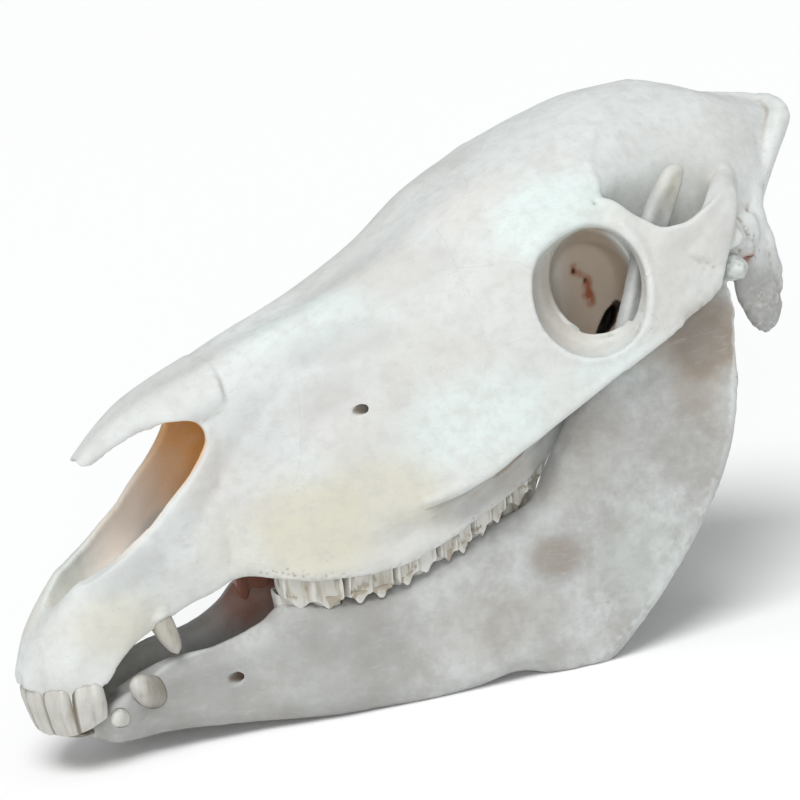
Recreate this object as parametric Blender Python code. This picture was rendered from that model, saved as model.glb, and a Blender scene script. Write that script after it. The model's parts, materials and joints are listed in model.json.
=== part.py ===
"""Zebra skull, life size: the cranium parted along its sutures, and the lower jaw, with their teeth.

Places are in millimetres while a shape is worked out: x runs back from the front of the upper
incisors, y is negative on the animal's left, and z is the height above the ground that the lower
jaw rests on. Meshes are written in metres, with the skull's middle over the origin.
"""

import math

import bmesh
import bpy
import numpy as np
from mathutils import Matrix, Vector

# Driving dimensions, in millimetres
MIDDLE_X = 241.2
PITCH_DEGREES = 2.8
FLOOR_Z = 2.6
SUTURE_GAP = 0.3
VOXEL = 1.8
RING_POINTS = 48
STATION_STEP = 6.0
CRANIUM_TRIANGLES = 4400
JAW_TRIANGLES = 2000
SIDES = (-1, 1)

# Lines along the bones of the left side, each a row of (x, y, z)
ROOF = ((92, 0, 173), (122, 0, 185), (172, 0, 202), (215, 0, 223), (249, 0, 247), (274, 0, 261),
        (311, 0, 276), (346, 0, 287), (375, 0, 289), (400, 0, 284), (417, 0, 278), (430, 0, 274),
        (456, 0, 268))

FACE = (
    ROOF,
    ((92, -15, 170), (122, -19, 184), (172, -23, 202), (215, -28, 222), (249, -35, 243),
     (290, -41, 261)),
    ((92, -29, 150), (122, -33, 160), (172, -40, 174), (215, -52, 188), (249, -65, 209),
     (274, -72, 222), (290, -73, 226)),
    ((92, -29, 108), (122, -36, 112), (172, -50, 120), (215, -64, 132), (262, -80, 150),
     (290, -85, 154)),
    ((92, -26, 84), (122, -37, 86), (172, -51, 90), (205, -62, 99), (229, -73, 107),
     (262, -81, 126), (290, -86, 142)),
    ((92, -25, 75), (122, -37, 78), (172, -50, 80), (216, -56, 93), (262, -59, 112),
     (290, -50, 130)),
    ((92, -24, 65), (113, -31, 73), (131, -39, 69), (161, -48, 65), (187, -53, 66),
     (211, -56, 73), (238, -59, 86), (263, -58, 97), (290, -46, 112)),
    ((92, -12, 68), (131, -19, 74), (187, -24, 74), (238, -28, 92), (290, -24, 118)),
    ((92, 0, 71), (131, 0, 82), (187, 0, 86), (238, 0, 106), (290, 0, 132)),
)
MUZZLE = (
    ((-2, 0, 42), (9, 0, 62), (32, 0, 82), (69, 0, 107), (90, 0, 129), (112, 0, 160)),
    ((-2, -4, 42), (9, -11, 62), (32, -20, 86), (48, -25, 97), (69, -29, 113), (90, -31, 134),
     (112, -32, 161)),
    ((-2, -7, 39), (9, -21, 52), (32, -27, 64), (69, -28, 88), (90, -31, 108), (112, -34, 126)),
    ((-2, -7, 37), (9, -24, 38), (20, -30, 41), (48, -28, 53), (69, -25, 64), (112, -33, 88)),
    ((-2, -6, 33), (9, -22, 30), (20, -29, 30), (33, -31, 31), (42, -28, 42), (52, -25, 49),
     (79, -23, 60), (112, -31, 74)),
    ((-2, -3, 34), (9, -14, 33), (32, -19, 43), (69, -15, 60), (112, -18, 75)),
    ((-2, 0, 35), (32, 0, 46), (69, 0, 63), (112, 0, 78)),
)
NASAL_SPIKE = (
    ((36, 0, 139), (54, 0, 155), (75, 0, 168), (92, 0, 174), (112, 0, 182)),
    ((36, -4, 139), (54, -8, 154), (75, -14, 167), (112, -18, 181)),
    ((36, -6, 136), (54, -12, 149), (75, -22, 160), (92, -29, 161), (112, -30, 168)),
    ((36, -4, 133), (54, -10, 143), (75, -21, 155), (92, -28, 155), (112, -29, 158)),
    ((36, 0, 133), (54, 0, 144), (75, 0, 156), (112, 0, 163)),
)
NOSE_HOLLOW = (
    ((14, 0, 150), (46, 0, 142), (60, 0, 156), (75, 0, 164), (112, 0, 176), (200, 0, 200)),
    ((14, -5, 150), (46, -7, 140), (60, -9, 154), (75, -14, 161), (112, -22, 170),
     (200, -12, 190)),
    ((14, -5, 120), (46, -18, 120), (75, -24, 135), (112, -27, 140), (200, -13, 160)),
    ((14, -4, 70), (32, -11, 72), (46, -17, 76), (75, -22, 90), (112, -24, 100), (200, -12, 140)),
    ((14, 0, 69), (46, 0, 71), (75, 0, 80), (112, 0, 92), (200, 0, 138)),
)
CORE = (
    ((250, 0, 243),) + ROOF[5:],
    ((250, -35, 239), (274, -39, 254), (312, -42, 267), (325, -39, 271), (345, -34, 276),
     (400, -27, 276), (440, -21, 265), (456, -18, 258)),
    ((250, -62, 206), (275, -71, 224), (305, -71, 232), (320, -64, 242), (345, -54, 250),
     (375, -51, 248), (400, -50, 243), (425, -43, 238), (442, -31, 238), (456, -22, 247)),
    ((250, -56, 200), (275, -62, 214), (305, -60, 223), (320, -57, 228), (345, -54, 227),
     (375, -56, 221), (400, -55, 214), (422, -45, 208), (438, -30, 222), (456, -15, 243)),
    ((250, -40, 195), (275, -36, 212), (305, -36, 216), (335, -46, 207), (375, -54, 197),
     (400, -53, 192), (425, -43, 196), (438, -22, 214), (456, -8, 240)),
    ((250, -36, 140), (290, -30, 158), (330, -33, 168), (375, -42, 177), (400, -40, 177),
     (425, -28, 184), (438, -12, 206), (456, -4, 239)),
    ((250, 0, 120), (290, 0, 140), (330, 0, 155), (375, 0, 168), (425, 0, 180), (438, 0, 204),
     (456, 0, 239)),
)
# The outer plate that rings the orbit and runs back as the zygomatic arch, outer face then inner
CHEEK_PLATE = (
    ((244, -62, 204), (275, -71, 226), (312, -68, 240), (319, -73, 239), (329, -81, 229),
     (341, -90, 222), (352, -92, 223), (364, -91, 229), (376, -86, 234), (388, -74, 237),
     (398, -52, 236)),
    ((244, -70, 160), (280, -82, 180), (326, -92, 196), (366, -93, 212), (384, -86, 224),
     (398, -56, 224)),
    ((244, -76, 114), (262, -80, 125), (280, -84, 136), (317, -91, 157), (341, -94, 171),
     (368, -94, 187), (373, -92, 200), (384, -84, 209), (398, -54, 209)),
    ((244, -62, 116), (262, -66, 128), (280, -70, 142), (317, -84, 163), (341, -86, 175),
     (368, -85, 190), (373, -82, 203), (384, -72, 210), (398, -44, 209)),
    ((244, -56, 160), (280, -68, 180), (326, -82, 194), (366, -84, 212), (384, -72, 222),
     (398, -44, 224)),
    ((244, -52, 200), (275, -60, 220), (312, -60, 236), (329, -75, 226), (341, -83, 217),
     (366, -83, 224), (388, -62, 233), (398, -42, 233)),
)
CHIN = (
    ((28, 0, 11), (40, 0, 18), (60, 0, 20), (92, 0, 24)),
    ((28, -9, 12), (40, -15, 21), (60, -13, 25), (92, -12, 27)),
    ((28, -14, 10), (40, -23, 22), (60, -21, 28), (92, -18, 30)),
    ((28, -15, 7), (40, -25, 14), (60, -23, 17), (92, -21, 17)),
    ((28, -12, 3), (40, -19, -1), (60, -17, -2), (92, -16, 1)),
    ((28, 0, 2), (40, 0, -1), (60, 0, -1), (92, 0, 6)),
)
# The jaw's side: (x, y of the lower edge, y of the upper edge, lowest z, highest z, thickness)
JAW_SIDE = ((44, -13, -13, 0, 26, 12), (58, -18, -17, -1, 33, 13), (74, -20, -19, -2, 37, 14),
            (92, -25, -22, -3, 38, 14), (105, -28, -24, -4, 41, 14), (120, -32, -28, -5, 47, 16),
            (132, -36, -31, -6, 55, 19), (160, -44, -36, -7, 53, 21), (190, -52, -40, -7, 55, 21),
            (220, -60, -44, -4, 66, 21), (245, -66, -47, 1, 77, 21), (264, -72, -58, -3, 87, 15),
            (275, -74, -64, -3, 110, 12), (289, -77, -67, -2, 134, 12), (313, -81, -69, 19, 158, 11),
            (336, -84, -71, 47, 184, 11), (352, -85, -73, 69, 188, 11), (364, -87, -75, 91, 190, 11),
            (371, -88, -76, 116, 190, 11), (375, -88, -78, 144, 190, 12), (377, -88, -80, 168, 190, 10))
CORONOID = ((300, -70, -69, 118, 142, 9), (315, -72, -71, 132, 168, 8), (324, -72, -71, 150, 191, 8),
            (332, -71, -70, 165, 212, 8), (338, -71, -70, 172, 226, 8), (343, -70, -69, 180, 235, 8),
            (347, -70, -69, 204, 240, 8), (351, -70, -69, 216, 245, 8), (357, -69, -68, 226, 250, 7),
            (362, -69, -68, 236, 251, 6), (366, -68, -67, 244, 248, 4))

# The front of the incisors' arch in top view, the teeth's angles on it, and their heights
ARCH_CENTRE = (34.0, 0.0)
ARCH_RADII = (34.0, 32.0)
INCISOR_ANGLES = (13.5, 40.5, 71.0)
INCISOR_WIDTHS = (15.0, 17.0, 18.5)
BITE_RISES = (0.0, 0.5, 6.0)
GUM_Z = 33.0
BED_TURN = 84.0
BITE_Z = 8.5

# Cheek teeth from front to back: (x of the front edge, x of the rear edge)
CHEEK_TEETH = ((128, 161), (161, 187.5), (187.5, 211.5), (211.5, 231), (231, 252.5), (252.5, 277))
CHEEK_OUTER = ((127, -37), (158, -47), (187, -52), (211, -55), (238, -57.5), (262, -57), (280, -53))
CUSP_LINE = ((125, 58), (131, 55), (153, 51), (180, 52), (205, 61), (224, 67), (243, 78), (264, 88),
             (282, 99))
UPPER_WIDTH = 22.0
LOWER_INSET = 9.0
LOWER_WIDTH = 12.0
BITE_SLOPE = 0.28
BITE_GAP = 0.6

BONE_COLOUR = (0.80, 0.78, 0.73, 1)
JAW_COLOUR = (0.74, 0.72, 0.68, 1)


def cleared():
    for thing in list(bpy.data.objects):
        bpy.data.objects.remove(thing, do_unlink=True)


def along(knots, at):
    """The smooth line through the knots, each (place, values...), at the given places."""
    knots = np.asarray(knots, float)
    at = np.clip(np.asarray(at, float), knots[0, 0], knots[-1, 0])
    run = np.diff(knots[:, 0])[:, None]
    slope = np.diff(knots[:, 1:], axis=0) / run
    total = slope[:-1] + slope[1:]
    mean = 2 * slope[:-1] * slope[1:] / np.where(np.abs(total) < 1e-9, 1, total)
    inner = np.where(slope[:-1] * slope[1:] > 0, mean, 0)
    lean = np.vstack([slope[:1], inner, slope[-1:]])
    i = np.clip(np.searchsorted(knots[:, 0], at, side="right") - 1, 0, len(run) - 1)
    t = ((at - knots[i, 0]) / run[i, 0])[:, None]
    start = (1 + 2 * t) * (1 - t) ** 2 * knots[i, 1:] + t * (1 - t) ** 2 * run[i] * lean[i]
    return start + t * t * (3 - 2 * t) * knots[i + 1, 1:] + t * t * (t - 1) * run[i] * lean[i + 1]


def rounded(corners, count):
    """A smooth closed curve through the corners, as evenly spaced points."""
    corners = np.asarray(corners, float)
    after = np.roll(corners, -1, axis=0)
    span = np.sqrt(np.linalg.norm(after - corners, axis=1) + 1e-6)[:, None]
    before = np.roll(span, 1, axis=0)
    slope = (after - corners) / span
    lean = (np.roll(slope, 1, axis=0) * span + slope * before) / (span + before)
    t = np.linspace(0, 1, 12, endpoint=False)[:, None, None]
    fine = (1 + 2 * t) * (1 - t) ** 2 * corners + t * (1 - t) ** 2 * span * lean
    fine = fine + t * t * (3 - 2 * t) * after + t * t * (t - 1) * span * np.roll(lean, -1, axis=0)
    fine = fine.transpose(1, 0, 2).reshape(-1, corners.shape[1])
    fine = np.vstack([fine, fine[:1]])
    length = np.concatenate([[0], np.cumsum(np.linalg.norm(np.diff(fine, axis=0), axis=1))])
    at = np.linspace(0, length[-1], count, endpoint=False)
    return np.column_stack([np.interp(at, length, fine[:, i]) for i in range(corners.shape[1])])


def wrapped(rings):
    """A closed shape whose skin runs through the rings, which have equal counts of points."""
    rings = np.asarray(rings, float)
    rows, count = rings.shape[:2]
    shape = bmesh.new()
    bmesh.ops.create_grid(shape, x_segments=count, y_segments=rows - 1, size=1)
    places = np.concatenate([rings, rings[:, :1]], axis=1).reshape(-1, 3)
    for vert, place in zip(shape.verts, places):
        vert.co = place
    bmesh.ops.remove_doubles(shape, verts=shape.verts, dist=1e-4)
    edges = [edge for edge in shape.edges if edge.is_boundary]
    bmesh.ops.holes_fill(shape, edges=edges, sides=0)
    bmesh.ops.recalc_face_normals(shape, faces=shape.faces)
    return shape


def stations(first, last):
    count = max(4, int(round((last - first) / STATION_STEP)))
    return np.linspace(first, last, count + 1)


def loft(lines, both_sides=True):
    """The shape that the lines run along. Lines of the left half are mirrored for both sides."""
    first = max(line[0][0] for line in lines)
    last = min(line[-1][0] for line in lines)
    rings = []
    for x in stations(first, last):
        half = np.vstack([along(line, [x]) for line in lines])
        if both_sides:
            half = np.vstack([half, half[-2:0:-1] * (-1, 1)])
        ring = rounded(half, RING_POINTS)
        rings.append(np.column_stack([np.full(len(ring), x), ring]))
    return wrapped(rings)


def plate(table):
    """A plate on edge along x, whose edges and thickness the table gives."""
    rings = []
    for x in stations(table[0][0], table[-1][0]):
        low_y, high_y, low, high, thick = along(table, [x])[0]
        inset = min(0.45 * thick, 0.3 * (high - low))
        corners = []
        for side, levels in ((-0.5, (high - inset, 0.5 * (low + high), low + inset)),
                             (0.5, (low + inset, 0.5 * (low + high), high - inset))):
            for z in levels:
                y = low_y + (high_y - low_y) * (z - low) / (high - low)
                corners.append((y + side * thick, z))
            end = (low_y, low) if side < 0 else (high_y, high)
            corners.append(end)
        ring = rounded(corners, RING_POINTS)
        rings.append(np.column_stack([np.full(len(ring), x), ring]))
    return wrapped(rings)


def limb(path, sideways=(0, 1, 0), count=20, steps=10):
    """A limb along the path of (x, y, z, half width sideways, half width the other way)."""
    path = np.asarray(path, float)
    reach = np.concatenate([[0], np.cumsum(np.linalg.norm(np.diff(path[:, :3], axis=0), axis=1))])
    at = np.linspace(0, reach[-1], steps + 1)
    line = along(np.column_stack([reach, path]), at)
    forward = np.gradient(line[:, :3], axis=0)
    turn = np.linspace(0, 2 * math.pi, count, endpoint=False)[:, None]
    rings = []
    for row, ahead in zip(line, forward):
        ahead = Vector(ahead).normalized()
        across = (Vector(sideways) - ahead * ahead.dot(Vector(sideways))).normalized()
        other = ahead.cross(across)
        ring = row[:3] + row[3] * np.cos(turn) * np.array(across)
        rings.append(ring + row[4] * np.sin(turn) * np.array(other))
    return wrapped(rings)


def ball(centre, radii, turn=0.0):
    """An ellipsoid, turned about the vertical by the given degrees."""
    shape = bmesh.new()
    bmesh.ops.create_uvsphere(shape, u_segments=24, v_segments=14, radius=1)
    place = Matrix.Translation(centre) @ Matrix.Rotation(math.radians(turn), 4, "Z")
    bmesh.ops.transform(shape, matrix=place @ Matrix.Diagonal((*radii, 1)), verts=shape.verts)
    return shape


def prism(outline, low_y, high_y):
    """The outline in side view, each (x, z), drawn out between two widths."""
    rings = [[(x, y, z) for x, z in outline] for y in (low_y, high_y)]
    return wrapped(rings)


def other_side(shape):
    twin = shape.copy()
    bmesh.ops.scale(twin, vec=(1, -1, 1), verts=twin.verts)
    bmesh.ops.reverse_faces(twin, faces=twin.faces)
    return twin


def on_both_sides(shapes):
    return [*shapes, *[other_side(shape) for shape in shapes]]


def as_object(name, shape):
    """A bmesh in millimetres as an object in metres, pitched as the skull rests and over the origin."""
    pitch = Matrix.Rotation(math.radians(PITCH_DEGREES), 4, "Y")
    rest = Matrix.Translation((0, 0, FLOOR_Z)) @ pitch @ Matrix.Translation((-MIDDLE_X, 0, 0))
    bmesh.ops.transform(shape, matrix=Matrix.Scale(0.001, 4) @ rest, verts=shape.verts)
    mesh = bpy.data.meshes.new(name)
    shape.to_mesh(mesh)
    shape.free()
    thing = bpy.data.objects.new(name, mesh)
    bpy.context.scene.collection.objects.link(thing)
    return thing


def joined(name, shapes):
    """All the shapes in one mesh, which the remesh below turns into one skin."""
    whole = bmesh.new()
    for shape in shapes:
        mesh = bpy.data.meshes.new("piece")
        shape.to_mesh(mesh)
        shape.free()
        whole.from_mesh(mesh)
        bpy.data.meshes.remove(mesh)
    return as_object(name, whole)


def settle(thing):
    """Applies the object's modifiers."""
    graph = bpy.context.evaluated_depsgraph_get()
    mesh = bpy.data.meshes.new_from_object(thing.evaluated_get(graph), depsgraph=graph)
    thing.modifiers.clear()
    old = thing.data
    thing.data = mesh
    bpy.data.meshes.remove(old)


def remeshed(thing, size):
    modifier = thing.modifiers.new("Skin", "REMESH")
    modifier.mode = "VOXEL"
    modifier.voxel_size = size * 0.001
    settle(thing)


def smoothed(thing, rounds):
    modifier = thing.modifiers.new("Smooth", "SMOOTH")
    modifier.factor = 0.5
    modifier.iterations = rounds
    settle(thing)


def thinned(thing, triangles):
    thing.data.calc_loop_triangles()
    modifier = thing.modifiers.new("Thin", "DECIMATE")
    modifier.ratio = min(1.0, triangles / len(thing.data.loop_triangles))
    modifier.use_symmetry = False
    settle(thing)


def combined(thing, others, operation):
    """One Boolean with a collection of closed meshes, which are removed after it."""
    group = bpy.data.collections.new("Others")
    for other in others:
        group.objects.link(other)
        bpy.context.scene.collection.objects.unlink(other)
    bpy.context.scene.collection.children.link(group)
    modifier = thing.modifiers.new("Combined", "BOOLEAN")
    modifier.operation = operation
    modifier.solver = "MANIFOLD"
    modifier.operand_type = "COLLECTION"
    modifier.collection = group
    settle(thing)
    for other in list(group.objects):
        bpy.data.objects.remove(other, do_unlink=True)
    bpy.data.collections.remove(group)


def largest_only(thing):
    """Keeps the largest closed surface of a mesh."""
    shape = bmesh.new()
    shape.from_mesh(thing.data)
    unseen = set(shape.verts)
    groups = []
    while unseen:
        group = [unseen.pop()]
        for vert in group:
            for edge in vert.link_edges:
                near = edge.other_vert(vert)
                if near in unseen:
                    unseen.discard(near)
                    group.append(near)
        groups.append(group)
    groups.sort(key=len)
    for group in groups[:-1]:
        bmesh.ops.delete(shape, geom=group, context="VERTS")
    bmesh.ops.triangulate(shape, faces=shape.faces)
    shape.to_mesh(thing.data)
    shape.free()


# Bones

def incisor_bed():
    """The end of the muzzle that the incisors stand in."""
    turn = np.radians(np.linspace(-BED_TURN, BED_TURN, 25))
    rings = []
    for z, reach in ((44, 0.90), (34, 0.955), (24, 0.93), (19.5, 0.87), (19.5, 0.78), (28, 0.5)):
        x = ARCH_CENTRE[0] - ARCH_RADII[0] * reach * np.cos(turn)
        y = -ARCH_RADII[1] * reach * np.sin(turn)
        rings.append(np.column_stack([x, y, np.full(len(x), float(z))]))
    return wrapped(rings)


def nuchal_crest():
    rim = ((420, -41, 204, 5, 7), (426, -37, 220, 6, 8), (437, -32, 235, 6, 8),
           (452, -24, 252, 6, 8), (461, -16, 261, 6, 7), (463, 0, 264, 6, 7))
    return limb(rim, sideways=(1, 0, 0))


def left_bones():
    """Limbs and lumps of the left side that the long shapes don't hold."""
    glenoid = limb(((385, -50, 211, 10, 6), (384, -72, 210, 10, 5), (379, -88, 210, 7, 6)),
                   sideways=(1, 0, 0))
    tongue = limb(((360, -91, 202, 14, 4.5), (367, -90, 214, 12, 4.5), (374, -87, 224, 10, 4.5),
                   (381, -80, 231, 8.5, 5), (390, -66, 234, 7, 7), (404, -50, 234, 5, 8)),
                  sideways=(1, 0, 0))
    ear = ball((398, -59, 206), (9, 10, 12), 20)
    mastoid = limb(((430, -33, 238, 6, 7), (424, -38, 226, 8, 9), (418, -43, 212, 8, 11),
                    (413, -47, 198, 8, 12), (411, -49, 186, 5, 10)), sideways=(0, 1, 0))
    beside_condyle = limb(((417, -45, 206, 7, 14), (417, -50, 188, 6, 15), (416.5, -53, 173, 6, 15),
                           (417.5, -55, 162, 5, 12), (418, -55, 153, 3.5, 8), (418, -55, 149, 1, 2)))
    behind_joint = limb(((392, -50, 208, 5, 6), (393, -57, 197, 4, 5)))
    base = limb(((404, -30, 196, 12, 18), (402, -34, 180, 9, 14)))
    pterygoid = plate(((262, -26, -24, 112, 150, 7), (285, -24, -22, 112, 156, 6),
                       (305, -22, -21, 114, 160, 5), (322, -20, -20, 124, 166, 5),
                       (336, -20, -22, 140, 170, 6), (350, -20, -24, 156, 174, 6)))
    condyle = ball((430, -22, 188), (18, 12, 18), 20)
    return [glenoid, tongue, ear, mastoid, beside_condyle, behind_joint, base, pterygoid, condyle,
            nuchal_crest()]


def left_hollows():
    """The orbit and the holes of the left side, and the recess under the facial crest."""
    orbit = limb(((292, -104, 202, 36, 38), (298, -83, 196, 31.5, 34.5), (303.5, -74, 197, 26.5, 30.5),
                  (309, -65, 197.5, 21.5, 26), (314, -53, 195, 20, 24), (316, -42, 191, 16, 19)),
                 sideways=(1, 0, 0), count=32)
    slot = limb(((340, -52, 170, 12, 3.2), (332, -24, 163, 10, 3)), sideways=(0.45, -0.2, 0.87))
    foramen = limb(((170, -52, 146, 4, 4), (184, -45, 150, 4, 4), (198, -40, 154, 3, 3)))
    brow_hole = limb(((311, -74, 246, 2, 2), (311, -64, 226, 2, 2)), count=10)
    nose_end = limb(((91, -44, 141, 16.5, 6), (89, -10, 141, 16.5, 6)), sideways=(0.58, 0, 0.81))
    under_crest = limb(((207, -70, 88, 6, 5), (216, -71, 92, 8, 7), (232, -73, 97, 9, 8),
                        (248, -75, 105, 10, 9), (264, -78, 114, 11, 9), (282, -82, 124, 11, 9),
                        (300, -86, 134, 10, 8), (316, -92, 143, 8, 6)), steps=20)
    return [orbit, slot, foramen, brow_hole, nose_end, under_crest]


def cranium():
    long_shapes = [loft(FACE), loft(MUZZLE), loft(NASAL_SPIKE), loft(CORE)]
    crest = limb(((372, 0, 284, 4, 4), (400, 0, 279, 3, 5), (417, 0, 273, 3.5, 5), (433, 0, 270, 4, 5),
                  (448, 0, 267, 5, 6), (460, 0, 263, 6, 7)))
    sides = on_both_sides([plate_of_cheek(), *left_bones()])
    bone = joined("cranium", [*long_shapes, incisor_bed(), crest, *sides])
    remeshed(bone, VOXEL)
    hollows = [loft(NOSE_HOLLOW), choana(), spinal_opening(), *on_both_sides(left_hollows())]
    combined(bone, [as_object("hollow", shape) for shape in hollows], "DIFFERENCE")
    remeshed(bone, VOXEL)
    smoothed(bone, 3)
    thinned(bone, CRANIUM_TRIANGLES)
    return bone


def plate_of_cheek():
    return loft(CHEEK_PLATE, both_sides=False)


def choana():
    return limb(((318, 0, 112, 14, 18), (262, 0, 122, 15, 17), (226, 0, 136, 13, 11)))


def spinal_opening():
    return limb(((452, 0, 196, 14, 14), (428, 0, 204, 13, 14), (405, 0, 212, 9, 10)))


def jaw():
    condyle = limb(((381, -60, 192, 6, 6), (381, -68, 194, 7.5, 7), (381, -80, 195, 8, 7),
                    (380.5, -89, 194, 6.5, 7), (380.5, -93, 194, 4.5, 5), (380.5, -95, 194, 2, 2)),
                   sideways=(1, 0, 0))
    halves = on_both_sides([plate(JAW_SIDE), plate(CORONOID), condyle])
    bone = joined("jaw", [loft(CHIN), *halves])
    remeshed(bone, VOXEL)
    hole = limb(((92, -38, 22, 5, 4), (102, -30, 22, 5, 4), (109, -27, 22, 4, 3.5)), steps=6)
    holes = [as_object("hole", shape) for shape in on_both_sides([hole])]
    combined(bone, holes, "DIFFERENCE")
    remeshed(bone, VOXEL)
    smoothed(bone, 3)
    thinned(bone, JAW_TRIANGLES)
    return bone


# Teeth

def row_edge(x):
    return float(along(CHEEK_OUTER, [x])[0, 0])


def cusp_height(x):
    return float(along(CUSP_LINE, [x])[0, 0])


def bite_height(x, y):
    """The height that the upper and the lower cheek teeth meet at."""
    return cusp_height(x) + 2.5 + BITE_SLOPE * (y - row_edge(x))


def upper_cheek_tooth(front, back, first):
    """A tooth with three ribs on its cheek side and a point between each two of them."""
    inner = UPPER_WIDTH
    plan = ((0.02, 1.5, 3), (0.09, 0, 3), (0.27, 1.5, -1), (0.5, 0.2, 3), (0.72, 1.5, -1),
            (0.93, 0, 3), (0.985, 1.5, 3), (0.95, inner - 4, 0), (0.7, inner, 0), (0.3, inner, 0),
            (0.05, 0.5 * inner if first else inner - 4, 0))
    rings = []
    for lift, spread in ((30, 0.9), (15, 1.0), (0, 1.0), (-1, 1.0)):
        ring = []
        for u, v, drop in plan:
            grinding = lift < 0
            v = min(max(v, LOWER_INSET - 1), inner - 1) if grinding else v
            x = front + (back - front) * (0.5 + (u - 0.5) * (0.92 if grinding else spread))
            y = row_edge(x) + 0.5 * inner + (v - 0.5 * inner) * spread
            z = cusp_height(x) + lift
            if lift == 0 and drop:
                z = cusp_height(x) + drop
            elif lift <= 0:
                z = bite_height(x, y) + BITE_GAP
            ring.append((x, y, z))
        rings.append(ring)
    return wrapped(rings)


def lower_cheek_tooth(front, back):
    low, wide = LOWER_INSET, LOWER_WIDTH
    plan = ((0.03, 2), (0.25, 0), (0.48, 1.8), (0.75, 0), (0.97, 2), (0.97, wide - 2),
            (0.7, wide), (0.5, wide - 1.5), (0.3, wide), (0.03, wide - 2))
    rings = []
    for depth in (0, 12, 26):
        ring = []
        for u, v in plan:
            x = front + (back - front) * u
            y = row_edge(x) + low + v
            ring.append((x, y, bite_height(x, y) - BITE_GAP - depth))
        rings.append(ring)
    return wrapped(rings)


def upper_incisor(angle, width, rise):
    turn = math.radians(angle)
    out = np.array((-math.cos(turn), -math.sin(turn)))
    across = np.array((math.sin(turn), -math.cos(turn)))
    rings = []
    for z, reach, wide, deep in ((GUM_Z + 17, 0.80, 0.60, 8), (GUM_Z + 4, 1.0, 0.78, 10),
                                 (25, 1.0, 0.97, 10), (14, 0.935, 1.0, 9), (BITE_Z + rise, 0.87, 0.96, 8)):
        front = np.array(ARCH_CENTRE) + out * ARCH_RADII * reach
        ring = []
        for u, v in ((-0.5, 0.25), (-0.25, 0), (0.25, 0), (0.5, 0.25), (0.4, 0.8), (0.15, 1),
                     (-0.15, 1), (-0.4, 0.8)):
            place = front + across * u * wide * width - out * v * deep
            ring.append((place[0], place[1], z))
        rings.append(ring)
    return wrapped(rings)


def lower_incisor(angle, width):
    turn = math.radians(angle)
    out = np.array((-math.cos(turn), -math.sin(turn)))
    across = (math.sin(turn), -math.cos(turn), 0)
    path = []
    for reach, z, wide, thick in ((0.70, 4.9, 0.40, 2.0), (0.62, 5.0, 0.46, 2.6),
                                  (0.38, 5.6, 0.44, 3.2), (0.02, 8.5, 0.34, 4.0)):
        place = np.array(ARCH_CENTRE) + out * ARCH_RADII * reach
        path.append((place[0], place[1], z, wide * width, thick))
    return limb(path, sideways=across, count=8, steps=4)


def side_teeth(upper):
    """The teeth of the left side of the upper or the lower jaw."""
    if upper:
        teeth = [upper_incisor(*row) for row in zip(INCISOR_ANGLES, INCISOR_WIDTHS, BITE_RISES)]
        teeth += [upper_cheek_tooth(*span, span is CHEEK_TEETH[0]) for span in CHEEK_TEETH]
        canine = ((65, -18, 67, 4, 5), (67.5, -21.5, 57, 4.2, 5.4), (70, -24.5, 49, 3.6, 4.8),
                  (72.3, -26, 43, 2.4, 3.1), (73.2, -26.2, 39.8, 0.8, 0.9))
        teeth.append(limb(canine, count=8, steps=5))
        return teeth
    teeth = [lower_incisor(*pair) for pair in zip(INCISOR_ANGLES[:2], INCISOR_WIDTHS)]
    corner = ((52, -13, 9, 4, 5), (44, -20, 11.5, 4, 5), (39, -24.5, 14, 3.6, 4.8),
              (36, -27, 16.2, 1.2, 1.6))
    canine = ((64, -18, 16, 5, 6), (56, -23, 24, 5, 7), (50, -26, 29, 4, 5), (47, -27, 31, 2, 2))
    teeth += [limb(corner, count=8, steps=5), limb(canine, count=8, steps=5)]
    teeth += [lower_cheek_tooth(*span) for span in CHEEK_TEETH]
    return teeth


def rooted(bone, upper):
    """The bone with its teeth grown into it."""
    teeth = [as_object("tooth", shape) for shape in on_both_sides(side_teeth(upper))]
    combined(bone, teeth, "UNION")
    largest_only(bone)


# Parting along the sutures

# Outlines in side view, each (x, z), of the bones that a prism across the skull parts
OCCIPUT = ((438, 320), (438, 262), (428, 240), (424, 222), (418, 204), (404, 196), (392, 178),
           (380, 150), (380, 90), (520, 90), (520, 320))
PREMAXILLA = ((-20, -10), (-20, 220), (150, 220), (150, 165), (146, 130), (135, 107), (118, 103),
              (109, 94), (98, 66), (97, -10))
MAXILLA = ((80, -10), (80, 330), (232, 330), (237, 212), (242, 172), (236, 152), (228, 126),
           (240, 112), (262, 113), (284, 124), (306, 124), (306, -10))
ZYGOMATIC = ((215, 100), (215, 162), (243, 172), (264, 178), (290, 182), (318, 186), (330, 174),
             (338, 150), (338, 100))
TEMPORAL = ((316, 140), (316, 188), (332, 206), (346, 226), (362, 256), (398, 262), (434, 244),
            (424, 222), (418, 204), (404, 196), (392, 178), (380, 140))
LACRIMAL = ((225, 165), (225, 213), (262, 215), (276, 206), (270, 184), (264, 165))
FRONTAL = ((200, 197), (300, 197), (340, 202), (350, 232), (348, 330), (200, 330))
NASAL_EDGE = ((30, -36, 128), (96, -36, 152), (112, -32, 165), (125, -28, 172), (172, -25, 187),
              (215, -31, 208), (245, -38, 230), (258, -32, 240), (268, -2, 250))
WIDEST = 130.0


def nasal_region():
    rings = []
    for x, y, low in NASAL_EDGE:
        rings.append([(x, 0, 340), (x, y, 340), (x, y, low), (x, 0, low), (x, -y, low),
                      (x, -y, 340)])
    return wrapped(rings)


def grown(region, by):
    """The region with each face moved out, which leaves the gap of a suture beside it."""
    twin = region.copy()
    bmesh.ops.recalc_face_normals(twin, faces=twin.faces)
    twin.normal_update()
    moves = [vert.normal * by * vert.calc_shell_factor() for vert in twin.verts]
    for vert, move in zip(twin.verts, moves):
        vert.co += move
    return twin


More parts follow.
